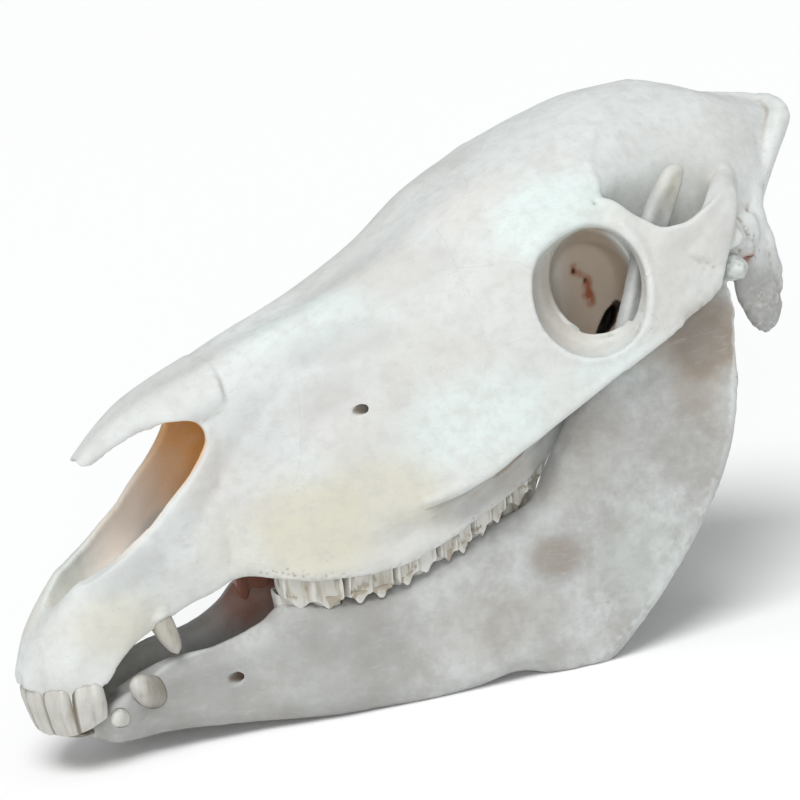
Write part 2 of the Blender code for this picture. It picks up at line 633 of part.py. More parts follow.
def copied(thing, name):
    twin = thing.copy()
    twin.data = thing.data.copy()
    twin.name = name
    bpy.context.scene.collection.objects.link(twin)
    return twin


def parted(rest, name, region):
    """Takes the bone in the region off the rest, with a suture's gap between them."""
    bone = copied(rest, name)
    cut = grown(region, SUTURE_GAP)
    combined(bone, [as_object("region", region)], "INTERSECT")
    largest_only(bone)
    combined(rest, [as_object("cut", cut)], "DIFFERENCE")
    return bone


def side_name(side):
    return "left" if side < 0 else "right"


def halved(bone, name):
    """The left and the right bone of a pair that meets in the middle."""
    for side in SIDES:
        inner, outer = sorted((side * 0.5 * SUTURE_GAP, side * WIDEST))
        half = prism(((-60, -60), (-60, 400), (560, 400), (560, -60)), inner, outer)
        piece = copied(bone, f"{name}_{side_name(side)}")
        combined(piece, [as_object("half", half)], "INTERSECT")
        largest_only(piece)
    bpy.data.objects.remove(bone, do_unlink=True)


def in_sutures(head):
    across = (-WIDEST, WIDEST)
    parted(head, "occipital", prism(OCCIPUT, *across))
    halved(parted(head, "nasal", nasal_region()), "nasal")
    halved(parted(head, "premaxilla", prism(PREMAXILLA, *across)), "premaxilla")
    halved(parted(head, "maxilla", prism(MAXILLA, *across)), "maxilla")
    for name, outline, inner in (("zygomatic", ZYGOMATIC, 48), ("temporal", TEMPORAL, 46),
                                 ("lacrimal", LACRIMAL, 44)):
        for side in SIDES:
            span = sorted((side * inner, side * WIDEST))
            parted(head, f"{name}_{side_name(side)}", prism(outline, *span))
    halved(parted(head, "frontal", prism(FRONTAL, *across)), "frontal")
    largest_only(head)
    head.name = "braincase"


def floor_block():
    """The ground, which the lower jaw's flats lie on."""
    block = bmesh.new()
    bmesh.ops.create_cube(block, size=1)
    bmesh.ops.scale(block, vec=(1.0, 1.0, 0.1), verts=block.verts)
    bmesh.ops.translate(block, vec=(0, 0, -0.05), verts=block.verts)
    mesh = bpy.data.meshes.new("floor")
    block.to_mesh(mesh)
    block.free()
    thing = bpy.data.objects.new("floor", mesh)
    bpy.context.scene.collection.objects.link(thing)
    return thing


def finish(thing, name, colour):
    """A bone's own material: dry, matt and a little porous."""
    material = bpy.data.materials.new(name)
    material.use_nodes = True
    shader = material.node_tree.nodes["Principled BSDF"]
    shader.inputs["Base Color"].default_value = colour
    shader.inputs["Roughness"].default_value = 0.6
    shader.inputs["Metallic"].default_value = 0.0
    thing.data.materials.clear()
    thing.data.materials.append(material)
    thing.data.shade_smooth()
    thing.data.set_sharp_from_angle(angle=math.radians(50))


def main():
    cleared()
    head = cranium()
    rooted(head, True)
    in_sutures(head)
    lower = jaw()
    rooted(lower, False)
    combined(lower, [floor_block()], "DIFFERENCE")
    lower.name = "mandible"
    for thing in bpy.context.scene.objects:
        finish(thing, thing.name, JAW_COLOUR if thing is lower else BONE_COLOUR)


main()
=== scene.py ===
"""The looks of a life-size zebra skull: its bones at full detail, its teeth, and a plain studio.

The bones are shaped in the skull's own millimetres, where x runs back from the front of the upper
incisors, y is negative on the animal's left and z is up. Each finished piece is then pitched as
the skull rests, with its place in its mesh.
"""

import json
import math

import bmesh
import bpy
import numpy as np
from bpy.props import FloatProperty, FloatVectorProperty, IntProperty, PointerProperty
from mathutils import Matrix, Vector

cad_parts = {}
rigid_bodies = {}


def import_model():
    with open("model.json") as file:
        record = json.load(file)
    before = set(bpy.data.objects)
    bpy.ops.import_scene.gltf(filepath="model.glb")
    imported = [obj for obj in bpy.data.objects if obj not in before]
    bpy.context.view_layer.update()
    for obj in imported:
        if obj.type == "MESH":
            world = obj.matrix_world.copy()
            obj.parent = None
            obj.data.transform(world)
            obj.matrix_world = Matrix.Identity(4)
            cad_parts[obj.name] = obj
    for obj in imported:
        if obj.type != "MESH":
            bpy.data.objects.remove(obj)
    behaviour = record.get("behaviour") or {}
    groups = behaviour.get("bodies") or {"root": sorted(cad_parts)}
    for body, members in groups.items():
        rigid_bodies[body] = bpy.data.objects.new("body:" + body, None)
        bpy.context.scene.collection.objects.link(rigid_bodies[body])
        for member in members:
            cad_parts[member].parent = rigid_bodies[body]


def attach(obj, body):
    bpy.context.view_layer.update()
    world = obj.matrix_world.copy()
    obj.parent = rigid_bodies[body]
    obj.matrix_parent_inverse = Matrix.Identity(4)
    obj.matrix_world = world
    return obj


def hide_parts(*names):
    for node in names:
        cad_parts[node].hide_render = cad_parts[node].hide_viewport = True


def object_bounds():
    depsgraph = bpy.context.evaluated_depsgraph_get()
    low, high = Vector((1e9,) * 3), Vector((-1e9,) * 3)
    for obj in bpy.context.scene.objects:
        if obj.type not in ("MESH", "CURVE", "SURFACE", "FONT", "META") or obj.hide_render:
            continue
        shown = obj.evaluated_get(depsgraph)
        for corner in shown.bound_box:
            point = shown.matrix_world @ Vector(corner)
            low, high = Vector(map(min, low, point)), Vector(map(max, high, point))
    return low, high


bl_info = {
    "name": "Zebra skull",
    "version": (1, 0, 0),
    "blender": (4, 5, 0),
    "location": "3D View > Sidebar > Skull",
    "description": "Models the bones and teeth of a zebra skull around its packed solids",
    "category": "Object",
}

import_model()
CAD_LOW, CAD_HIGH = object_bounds()

# How the skull rests, in millimetres and degrees
MIDDLE_X = 241.2
PITCH_DEGREES = 2.8
FLOOR_Z = 2.6

# The painted shade of the deepest holes as a share of the hollows' painted shade, and the teeth's
# grime and painted shade as a share of tooth stain's
DEEP_SHADE_SHARE = 0.1
GRIME_AND_SHADE_SHARE = 0.55
# The angle between two faces at which shading breaks
SHARP_DEGREES = 55

# How finely the long shapes are drawn
RING_POINTS = 96
STATION_STEP = 3.0
SIDES = (-1, 1)
MM = 0.001
WIDEST = 130.0

# Lines along the bones of the left side, each a row of (x, y, z)
ROOF = ((92, 0, 173), (122, 0, 185), (172, 0, 202), (215, 0, 223), (249, 0, 247), (274, 0, 261),
        (311, 0, 276), (346, 0, 287), (375, 0, 289), (400, 0, 284), (417, 0, 278), (430, 0, 274),
        (456, 0, 268))

FACE = (
    ROOF,
    ((92, -15, 170), (122, -19, 184), (172, -23, 202), (215, -28, 222), (249, -35, 243),
     (290, -41, 261)),
    ((92, -29, 150), (122, -33, 160), (172, -40, 174), (215, -52, 188), (249, -65, 209),
     (274, -72, 222), (290, -73, 226)),
    ((92, -29, 108), (122, -36, 112), (172, -50, 120), (215, -64, 132), (262, -80, 150),
     (290, -85, 154)),
    ((92, -26, 84), (122, -37, 86), (172, -51, 90), (205, -62, 99), (229, -73, 107),
     (262, -81, 126), (290, -86, 142)),
    ((92, -25, 75), (122, -37, 78), (172, -50, 80), (216, -56, 93), (262, -59, 112),
     (290, -50, 130)),
    ((92, -24, 65), (113, -31, 73), (131, -39, 69), (161, -48, 65), (187, -53, 66),
     (211, -56, 73), (238, -59, 86), (263, -58, 97), (290, -46, 112)),
    ((92, -12, 68), (131, -19, 74), (187, -24, 74), (238, -28, 92), (290, -24, 118)),
    ((92, 0, 71), (131, 0, 82), (187, 0, 86), (238, 0, 106), (290, 0, 132)),
)
MUZZLE = (
    ((-2, 0, 42), (9, 0, 62), (32, 0, 82), (69, 0, 107), (90, 0, 129), (112, 0, 160)),
    ((-2, -4, 42), (9, -11, 62), (32, -20, 86), (48, -25, 97), (69, -29, 113), (90, -31, 134),
     (104, -31, 150), (112, -27, 156)),
    ((-2, -7, 39), (9, -21, 52), (32, -27, 64), (69, -28, 88), (90, -31, 108), (104, -32, 120),
     (112, -29, 124)),
    ((-2, -7, 37), (9, -22.5, 39), (20, -28.5, 42), (48, -28, 53), (69, -25, 64), (104, -31, 83),
     (112, -29, 86)),
    ((-2, -6, 33), (9, -19, 31), (20, -26.5, 32), (33, -29.5, 33), (42, -28, 42), (52, -25, 49),
     (79, -23, 60), (104, -29, 71), (112, -28, 75)),
    ((-2, -3, 34), (9, -14, 33), (32, -19, 43), (69, -15, 60), (112, -18, 75)),
    ((-2, 0, 35), (32, 0, 46), (69, 0, 63), (112, 0, 78)),
)
NASAL_SPIKE = (
    ((36, 0, 139), (54, 0, 155), (75, 0, 168), (92, 0, 174), (112, 0, 182)),
    ((36, -4, 139), (54, -8, 154), (75, -14, 167), (112, -18, 181)),
    ((36, -6, 136), (54, -12, 149), (75, -22, 160), (92, -29, 161), (112, -30, 168)),
    ((36, -4, 133), (54, -10, 143), (75, -21, 155), (92, -28, 155), (112, -29, 158)),
    ((36, 0, 133), (54, 0, 144), (75, 0, 156), (112, 0, 163)),
)
NOSE_HOLLOW = (
    ((14, 0, 150), (46, 0, 142), (60, 0, 156), (75, 0, 164), (112, 0, 176), (200, 0, 200)),
    ((14, -5, 150), (46, -7, 140), (60, -9, 154), (75, -14, 161), (112, -22, 170),
     (200, -12, 190)),
    ((14, -5, 120), (46, -18, 120), (75, -24, 135), (112, -27, 140), (200, -13, 160)),
    ((14, -4, 70), (32, -11, 72), (46, -17, 76), (75, -22, 90), (112, -24, 100), (200, -12, 140)),
    ((14, 0, 69), (46, 0, 71), (75, 0, 80), (112, 0, 92), (200, 0, 138)),
)
CORE = (
    ((250, 0, 243),) + ROOF[5:],
    ((250, -35, 239), (274, -39, 254), (312, -42, 267), (325, -39, 271), (345, -34, 276),
     (400, -27, 276), (440, -21, 265), (456, -18, 258)),
    ((250, -62, 206), (275, -71, 224), (305, -71, 232), (320, -64, 242), (345, -54, 250),
     (375, -51, 248), (400, -50, 243), (425, -43, 238), (442, -31, 238), (456, -22, 247)),
    ((250, -56, 200), (275, -62, 214), (305, -60, 223), (320, -57, 228), (345, -54, 227),
     (375, -56, 221), (400, -55, 214), (422, -45, 208), (438, -30, 222), (456, -15, 243)),
    ((250, -40, 195), (275, -36, 212), (305, -36, 216), (335, -46, 207), (375, -54, 197),
     (400, -53, 192), (425, -43, 196), (438, -22, 214), (456, -8, 240)),
    ((250, -36, 140), (290, -30, 158), (330, -33, 168), (375, -42, 177), (400, -40, 177),
     (425, -28, 184), (438, -12, 206), (456, -4, 239)),
    ((250, 0, 120), (290, 0, 140), (330, 0, 155), (375, 0, 168), (425, 0, 180), (438, 0, 204),
     (456, 0, 239)),
)
# The outer plate that rings the orbit and runs back as the zygomatic arch, outer face then inner
CHEEK_PLATE = (
    ((244, -62, 204), (275, -71, 226), (312, -68, 240), (319, -73, 239), (329, -81, 229),
     (341, -90, 222), (352, -92, 223), (364, -91, 229), (376, -86, 234), (388, -74, 237),
     (398, -52, 236)),
    ((244, -70, 160), (280, -82, 180), (326, -92, 196), (366, -93, 212), (384, -86, 224),
     (398, -56, 224)),
    ((244, -76, 114), (262, -80, 125), (280, -84, 136), (317, -91, 157), (341, -94, 171),
     (368, -94, 187), (373, -92, 200), (384, -84, 209), (398, -54, 209)),
    ((244, -62, 116), (262, -66, 128), (280, -70, 142), (317, -84, 163), (341, -86, 175),
     (368, -85, 190), (373, -82, 203), (384, -72, 210), (398, -44, 209)),
    ((244, -56, 160), (280, -68, 180), (326, -82, 194), (366, -84, 212), (384, -72, 222),
     (398, -44, 224)),
    ((244, -52, 200), (275, -60, 220), (312, -60, 236), (329, -75, 226), (341, -83, 217),
     (366, -83, 224), (388, -62, 233), (398, -42, 233)),
)
CHIN = (
    ((28, 0, 11), (40, 0, 18), (60, 0, 20), (92, 0, 24)),
    ((28, -9, 12), (40, -15, 21), (60, -13, 25), (92, -12, 27)),
    ((28, -14, 10), (40, -23, 22), (60, -21, 28), (92, -18, 30)),
    ((28, -15, 7), (40, -25, 14), (60, -23, 17), (92, -21, 17)),
    ((28, -12, 3), (40, -19, -1), (60, -17, -2), (92, -16, 1)),
    ((28, 0, 2), (40, 0, -1), (60, 0, -1), (92, 0, 6)),
)
# The jaw's side: (x, y of the lower edge, y of the upper edge, lowest z, highest z, thickness)
JAW_SIDE = ((44, -13, -13, 0, 26, 12), (58, -18, -17, -1, 33, 13), (74, -20, -19, -2, 37, 14),
            (92, -25, -22, -3, 38, 14), (105, -28, -24, -4, 41, 14), (120, -32, -28, -5, 47, 16),
            (132, -36, -31, -6, 55, 19), (160, -44, -36, -7, 53, 21), (190, -52, -40, -7, 55, 21),
            (220, -60, -44, -4, 66, 21), (245, -66, -47, 1, 77, 21), (264, -72, -58, -3, 87, 15),
            (275, -74, -64, -3, 110, 12), (289, -77, -67, -2, 134, 12),
            (313, -81, -69, 19, 158, 11), (336, -84, -71, 47, 184, 11),
            (352, -85, -73, 69, 188, 11), (364, -87, -75, 91, 190, 11),
            (371, -88, -76, 116, 190, 11), (375, -88, -78, 144, 190, 12),
            (377, -88, -80, 168, 190, 10))
CORONOID = ((300, -70, -69, 118, 142, 9), (315, -72, -71, 132, 168, 8),
            (324, -72, -71, 150, 191, 8), (332, -71, -70, 165, 212, 8),
            (338, -71, -70, 172, 226, 8), (343, -70, -69, 180, 235, 8),
            (347, -70, -69, 204, 240, 8), (351, -70, -69, 216, 245, 8),
            (357, -69, -68, 226, 250, 7), (362, -69, -68, 236, 251, 6),
            (366, -68, -67, 244, 248, 4))

# The incisors' arch in top view, the teeth and their seams on it, and their heights
ARCH_CENTRE = (34.0, 0.0)
ARCH_RADII = (34.0, 32.0)
INCISOR_ANGLES = (13.5, 40.5, 71.0)
INCISOR_WIDTHS = (15.0, 17.0, 18.5)
BITE_RISES = (0.0, 0.5, 8.0)
SEAM_ANGLES = (0.0, 27.0, 56.0, 89.0)
MM_PER_DEGREE = 0.58
GUM_Z = 33.0
BITE_Z = 8.5

# Cheek teeth from front to back: (x of the front edge, x of the rear edge)
CHEEK_TEETH = ((128, 161), (161, 187.5), (187.5, 211.5), (211.5, 231), (231, 252.5), (252.5, 277))
CHEEK_OUTER = ((127, -37), (158, -47), (187, -52), (211, -55), (238, -57.5), (262, -57), (280, -53))
CUSP_LINE = ((125, 58), (131, 55), (153, 51), (180, 52), (205, 61), (224, 67), (243, 78), (264, 88),
             (282, 99))
UPPER_WIDTH = 22.0
LOWER_INSET = 9.0
FIRST_LOWER_INSET = 5.0
LOWER_WIDTH = 12.0
BITE_SLOPE = 0.28
BITE_GAP = 0.6

# Outlines in side view, each (x, z), of the bones that part along their sutures
OCCIPUT = ((438, 320), (438, 262), (428, 240), (424, 222), (418, 204), (404, 196), (392, 178),
           (380, 150), (380, 90), (520, 90), (520, 320))
PREMAXILLA = ((-20, -10), (-20, 220), (150, 220), (150, 165), (146, 130), (135, 107), (118, 103),
              (109, 94), (98, 66), (97, -10))
MAXILLA = ((80, -10), (80, 330), (232, 330), (237, 212), (242, 172), (236, 152), (228, 126),
           (240, 112), (262, 113), (284, 124), (306, 124), (306, -10))
ZYGOMATIC = ((215, 100), (215, 162), (243, 172), (264, 178), (290, 182), (318, 186), (330, 174),
             (338, 150), (338, 100))
TEMPORAL = ((316, 140), (316, 188), (332, 206), (346, 226), (362, 256), (398, 262), (434, 244),
            (424, 222), (418, 204), (404, 196), (392, 178), (380, 140))
LACRIMAL = ((225, 165), (225, 213), (262, 215), (276, 206), (270, 184), (264, 165))
FRONTAL = ((200, 197), (296, 197), (306, 184), (342, 184), (350, 232), (348, 330), (200, 330))
NASAL_EDGE = ((30, -36, 128), (96, -36, 152), (112, -32, 165), (125, -28, 172), (172, -25, 187),
              (215, -31, 208), (245, -38, 230), (258, -32, 240), (268, -2, 250))

# Lines that stand out of the cranium or run in it: (path, width, height)
ORBIT_RIM = ((312, -72, 229), (297, -72, 228), (280, -73, 219), (267, -75, 200), (266, -77, 190),
             (269, -80, 181), (275, -82, 171), (280, -85, 165), (289, -88, 161), (303, -92, 164),
             (318, -94, 174), (326, -94, 187), (327, -92, 202), (326, -88, 214), (320, -81, 225),
             (312, -72, 229))
GUM_LINE = ((92, -26, 64), (113, -32, 72), (131, -40, 69), (147, -45, 65), (161, -48, 64),
            (187, -53, 64), (211, -56, 71), (238, -59, 83), (263, -59, 94))
# The pores over the gum on each side
PORES = 110
HEAD_LINES = (
    (ORBIT_RIM, 2.4, 1.0),
    (((204, -63, 100), (214, -66, 103), (229, -73, 109), (245, -78, 118), (262, -81, 128),
      (295, -88, 148), (320, -92, 161), (341, -94, 172)), 3.0, 1.3),
    (((203, -63, 98), (209, -66, 100)), 2.6, 1.3),
    (((202, -61, 93), (207, -62, 93.5), (214, -63, 95)), 1.7, -1.1),
    (((316, -66, 243), (317, -56, 256), (323, -49, 263), (330, -40, 270), (343, -30, 278),
      (361, -18, 283), (380, -5, 287)), 2.6, 0.8),
    (((341, -91, 222), (352, -93, 224), (364, -92, 230), (376, -87, 236),
      (388, -75, 241)), 2.4, 0.7),
    (((427, -44, 202), (436, -35, 228), (449, -28, 241), (462, -24, 259)), 3.5, 1.0),
    (((462, 0, 262), (456, 0, 245), (446, 0, 222)), 4.0, 1.6),
    (((190, -39, 191), (171, -36, 183), (153, -36, 172), (135, -35, 161), (117, -34, 144),
      (101, -33, 121), (92, -31, 107), (85, -30, 96)), 5.5, -1.1),
    (((184, -46, 150), (172, -46, 156), (160, -43, 163)), 5.0, -0.8),
    (((102, -31, 152), (97, -30, 141), (90, -30, 130), (77, -28, 117), (69, -27, 108),
      (59, -25, 101), (48, -22, 92), (40, -19, 88), (32, -15, 85)), 2.2, 0.7),
    (GUM_LINE, 1.8, 0.7),
    (((336, -90, 215), (330, -92, 196), (322, -94, 178)), 5.0, 0.6),
    (((305, -40, 186), (309, -39, 175), (317, -38, 168)), 2.6, 1.2),
    (((420, -50, 222), (412, -53, 215), (404, -56, 211), (398, -64, 205)), 1.6, -0.9),
    (((425, -49, 206), (423, -53, 192), (426, -56, 178), (428, -56, 168)), 3.2, -1.2),
    (((431, -46, 200), (432, -50, 186), (430, -54, 172)), 2.2, 1.2),
    (((414, -54, 206), (413, -56, 196), (408, -58, 190)), 1.8, -1.2),
    (((432, -42, 226), (428, -45, 214), (426, -48, 202)), 2.0, -0.8),
)
# The stain and the pits on the wall of the orbit in side view, seen along the slit's own direction
EYE_STAIN = ((312.5, 0, 199), (318, 0, 194.5), (320.5, 0, 189), (321.5, 0, 180))
EYE_PITS = ((312.6, 0, 198.5), (319, 0, 192.6))
# The slit behind them, as its outline where it meets the wall in side view
EYE_SLIT = ((322.5, 161.2), (326, 167.5), (330, 173.5), (335, 177.2), (336.3, 174.6),
            (333.8, 167.4), (328.4, 162.4))
SLIT = ((325, 0, 161.8), (331, 0, 169), (336, 0, 176))
# How far a place shifts for each millimetre that the slit runs inwards
INTO_EYE = Vector((0.45, 1.0, -0.21))
EYE_WALL_Y = -38.0
SLIT_ENDS = (-56.0, -22.0)
# The facial crest's lower edge and the bone that it stands out of: (x, y, z, y below, z below)
CREST_EDGE = ((203, -63, 95.5, -59.5, 92), (206, -64.2, 96.2, -58.5, 91.5),
              (218, -69, 100, -57.5, 92.5), (233, -74, 107, -58, 97), (249, -78, 118, -59, 105),
              (266, -81, 128, -60, 113), (275, -83, 133, -60, 118), (288, -87, 141, -62, 125),
              (300, -90, 149, -68, 134), (310, -92, 155, -76, 142))
# The rear end of the nose's opening in side view
NOSE_EDGE = ((80, 157), (88, 157.5), (95, 156.5), (99.5, 153), (101, 147), (98, 140), (90, 129.5),
             (77, 117), (69, 108.5), (59, 101), (48, 93), (40, 88.5), (33, 84.8), (26, 84),
             (24, 92), (48, 132), (62, 146), (72, 152))
JAW_LINES = (
    (((56, -23, 26), (64, -22, 31), (75, -22, 35), (89, -24, 38), (103, -27, 42), (116, -31, 48),
      (126, -36, 54)), 2.0, 0.9),
    (((270, -80, 2), (283, -83, 4), (307, -86, 20), (333, -88, 48), (347, -89, 67), (359, -90, 91),
      (367, -91, 112), (371, -92, 138)), 5.0, 1.4),
    (((150, -48, -2), (180, -56, -2), (210, -63, 2), (242, -71, 7)), 7.0, 0.8),
    (((275, -74, 118), (300, -76, 100), (330, -80, 92)), 12.0, -1.2),
    (((30, 0, 4), (45, 0, 0), (60, 0, 0), (80, 0, 2)), 2.0, -0.8),
)


def along(knots, at):
    """The smooth line through the knots, each (place, values...), at the given places."""
    knots = np.asarray(knots, float)
    at = np.clip(np.asarray(at, float), knots[0, 0], knots[-1, 0])
    run = np.diff(knots[:, 0])[:, None]
    slope = np.diff(knots[:, 1:], axis=0) / run
    total = slope[:-1] + slope[1:]
    mean = 2 * slope[:-1] * slope[1:] / np.where(np.abs(total) < 1e-9, 1, total)
    inner = np.where(slope[:-1] * slope[1:] > 0, mean, 0)
    lean = np.vstack([slope[:1], inner, slope[-1:]])
    i = np.clip(np.searchsorted(knots[:, 0], at, side="right") - 1, 0, len(run) - 1)
    t = ((at - knots[i, 0]) / run[i, 0])[:, None]
    start = (1 + 2 * t) * (1 - t) ** 2 * knots[i, 1:] + t * (1 - t) ** 2 * run[i] * lean[i]
    return start + t * t * (3 - 2 * t) * knots[i + 1, 1:] + t * t * (t - 1) * run[i] * lean[i + 1]


def rounded(corners, count):
    """A smooth closed curve through the corners, as evenly spaced points."""
    corners = np.asarray(corners, float)
    after = np.roll(corners, -1, axis=0)
    span = np.sqrt(np.linalg.norm(after - corners, axis=1) + 1e-6)[:, None]
    before = np.roll(span, 1, axis=0)
    slope = (after - corners) / span
    lean = (np.roll(slope, 1, axis=0) * span + slope * before) / (span + before)
    t = np.linspace(0, 1, 12, endpoint=False)[:, None, None]
    fine = (1 + 2 * t) * (1 - t) ** 2 * corners + t * (1 - t) ** 2 * span * lean
    fine = fine + t * t * (3 - 2 * t) * after + t * t * (t - 1) * span * np.roll(lean, -1, axis=0)
    fine = fine.transpose(1, 0, 2).reshape(-1, corners.shape[1])
    fine = np.vstack([fine, fine[:1]])
    length = np.concatenate([[0], np.cumsum(np.linalg.norm(np.diff(fine, axis=0), axis=1))])
    at = np.linspace(0, length[-1], count, endpoint=False)
    return np.column_stack([np.interp(at, length, fine[:, i]) for i in range(corners.shape[1])])


def wrapped(rings):
    """A closed shape whose skin runs through the rings, which have equal counts of points."""
    rings = np.asarray(rings, float)
    rows, count = rings.shape[:2]
    shape = bmesh.new()
    bmesh.ops.create_grid(shape, x_segments=count, y_segments=rows - 1, size=1)
    places = np.concatenate([rings, rings[:, :1]], axis=1).reshape(-1, 3)
    for vert, place in zip(shape.verts, places):
        vert.co = place
    bmesh.ops.remove_doubles(shape, verts=shape.verts, dist=1e-4)
    edges = [edge for edge in shape.edges if edge.is_boundary]
    bmesh.ops.holes_fill(shape, edges=edges, sides=0)
    bmesh.ops.recalc_face_normals(shape, faces=shape.faces)
    return shape


def stations(first, last):
    count = max(4, int(round((last - first) / STATION_STEP)))
    return np.linspace(first, last, count + 1)


def loft(lines, both_sides=True):
    """The shape that the lines run along. Lines of the left half are mirrored for both sides."""
    first = max(line[0][0] for line in lines)
    last = min(line[-1][0] for line in lines)
    rings = []
    for x in stations(first, last):
        half = np.vstack([along(line, [x]) for line in lines])
        if both_sides:
            half = np.vstack([half, half[-2:0:-1] * (-1, 1)])
        ring = rounded(half, RING_POINTS)
        rings.append(np.column_stack([np.full(len(ring), x), ring]))
    return wrapped(rings)


def plate(table):
    """A plate on edge along x, whose edges and thickness the table gives."""
    rings = []
    for x in stations(table[0][0], table[-1][0]):
        low_y, high_y, low, high, thick = along(table, [x])[0]
        inset = min(0.45 * thick, 0.3 * (high - low))
        corners = []
        for side, levels in ((-0.5, (high - inset, 0.5 * (low + high), low + inset)),
                             (0.5, (low + inset, 0.5 * (low + high), high - inset))):
            for z in levels:
                y = low_y + (high_y - low_y) * (z - low) / (high - low)
                corners.append((y + side * thick, z))
            end = (low_y, low) if side < 0 else (high_y, high)
            corners.append(end)
        ring = rounded(corners, RING_POINTS)
        rings.append(np.column_stack([np.full(len(ring), x), ring]))
    return wrapped(rings)


def limb(path, sideways=(0, 1, 0), count=32, steps=16):
    """A limb along the path of (x, y, z, half width sideways, half width the other way)."""
    path = np.asarray(path, float)
    reach = np.concatenate([[0], np.cumsum(np.linalg.norm(np.diff(path[:, :3], axis=0), axis=1))])
    at = np.linspace(0, reach[-1], steps + 1)
    line = along(np.column_stack([reach, path]), at)
    forward = np.gradient(line[:, :3], axis=0)
    turn = np.linspace(0, 2 * math.pi, count, endpoint=False)[:, None]
    rings = []
    for row, ahead in zip(line, forward):
        ahead = Vector(ahead).normalized()
        across = (Vector(sideways) - ahead * ahead.dot(Vector(sideways))).normalized()
        other = ahead.cross(across)
        ring = row[:3] + row[3] * np.cos(turn) * np.array(across)
        rings.append(ring + row[4] * np.sin(turn) * np.array(other))
    return wrapped(rings)


def ball(centre, radii, turn=0.0):
    """An ellipsoid, turned about the vertical by the given degrees."""
    shape = bmesh.new()
    bmesh.ops.create_uvsphere(shape, u_segments=48, v_segments=28, radius=1)
    place = Matrix.Translation(centre) @ Matrix.Rotation(math.radians(turn), 4, "Z")
    bmesh.ops.transform(shape, matrix=place @ Matrix.Diagonal((*radii, 1)), verts=shape.verts)
    return shape


def prism(outline, low_y, high_y):
    """The outline in side view, each (x, z), drawn out between two widths."""
    rings = [[(x, y, z) for x, z in outline] for y in (low_y, high_y)]
    return wrapped(rings)


def other_side(shape):
    twin = shape.copy()
    bmesh.ops.scale(twin, vec=(1, -1, 1), verts=twin.verts)
    bmesh.ops.reverse_faces(twin, faces=twin.faces)
    return twin


def on_both_sides(shapes):
    return [*shapes, *[other_side(shape) for shape in shapes]]


def as_object(name, shape):
    """A bmesh in millimetres as an object in metres, still unpitched."""
    bmesh.ops.scale(shape, vec=(MM, MM, MM), verts=shape.verts)
    mesh = bpy.data.meshes.new(name)
    shape.to_mesh(mesh)
    shape.free()
    thing = bpy.data.objects.new(name, mesh)
    bpy.context.scene.collection.objects.link(thing)
    return thing


def joined(name, shapes):
    """All the shapes in one mesh, which a remesh turns into one skin."""
    whole = bmesh.new()
    for shape in shapes:
        mesh = bpy.data.meshes.new("piece")
        shape.to_mesh(mesh)
        shape.free()
        whole.from_mesh(mesh)
        bpy.data.meshes.remove(mesh)
    return as_object(name, whole)


def settle(thing):
    """Applies the object's modifiers."""
    graph = bpy.context.evaluated_depsgraph_get()
    mesh = bpy.data.meshes.new_from_object(thing.evaluated_get(graph), depsgraph=graph)
    thing.modifiers.clear()
    old = thing.data
    thing.data = mesh
    bpy.data.meshes.remove(old)


def copied(thing, name):
    twin = thing.copy()
    twin.data = thing.data.copy()
    twin.name = name
    bpy.context.scene.collection.objects.link(twin)
    return twin


def remeshed(thing, size):
    modifier = thing.modifiers.new("Skin", "REMESH")
    modifier.mode = "VOXEL"
    modifier.voxel_size = size
    settle(thing)


def smoothed(thing, rounds):
    modifier = thing.modifiers.new("Smooth", "SMOOTH")
    modifier.factor = 0.5
    modifier.iterations = rounds
    settle(thing)


def evened(thing, rounds):
    """The points of the mesh as they lie after the given rounds of smoothing."""
    twin = copied(thing, "even")
    smoothed(twin, rounds)
    points = Skin(twin).points
    bpy.data.objects.remove(twin, do_unlink=True)
    return points


def softened(thing, weights, rounds):
    """Smooths the mesh by each point's weight."""
    skin = Skin(thing)
    skin.points += weights[:, None] * (evened(thing, rounds) - skin.points)
    skin.write()


def combined(thing, others, operation):
    """One Boolean with a collection of closed meshes, which are removed after it."""
    group = bpy.data.collections.new("Others")
    for other in others:
        group.objects.link(other)
        bpy.context.scene.collection.objects.unlink(other)
    bpy.context.scene.collection.children.link(group)
    modifier = thing.modifiers.new("Combined", "BOOLEAN")
    modifier.operation = operation
    modifier.solver = "MANIFOLD"
    modifier.operand_type = "COLLECTION"
    modifier.collection = group
    settle(thing)
    for other in list(group.objects):
        bpy.data.objects.remove(other, do_unlink=True)
    bpy.data.collections.remove(group)


def cut_out(thing, shapes):
    """Takes the shapes off the object."""
    combined(thing, [as_object("hollow", shape) for shape in shapes], "DIFFERENCE")


def largest_only(thing):
    """Keeps the largest closed surface of a mesh."""
    shape = bmesh.new()
    shape.from_mesh(thing.data)
    unseen = set(shape.verts)
    groups = []
    while unseen:
        group = [unseen.pop()]
        for vert in group:
            for edge in vert.link_edges:
                near = edge.other_vert(vert)
                if near in unseen:
                    unseen.discard(near)
                    group.append(near)
        groups.append(group)
    groups.sort(key=len)
    for group in groups[:-1]:
        bmesh.ops.delete(shape, geom=group, context="VERTS")
    shape.to_mesh(thing.data)
    shape.free()


# Carving

def noise(points, size, seed=0):
    """Smooth noise from -1 to 1 whose lumps are about the given size, a number or one per axis."""
    place = points / np.asarray(size, float) + 17.3 * seed
    cell = np.floor(place).astype(np.int64)
    part = place - cell
    part = part * part * (3 - 2 * part)
    total = np.zeros(len(points))
    for corner in np.ndindex(2, 2, 2):
        key = (cell + corner) @ np.array((73856093, 19349663, 83492791))
        key = (key ^ (key >> 13)) * 1274126177 & 0xFFFFFFFF
        value = ((key ^ (key >> 16)) & 0xFFFF) / 32767.5 - 1
        total += value * np.prod(np.where(corner, part, 1 - part), axis=1)
    return total


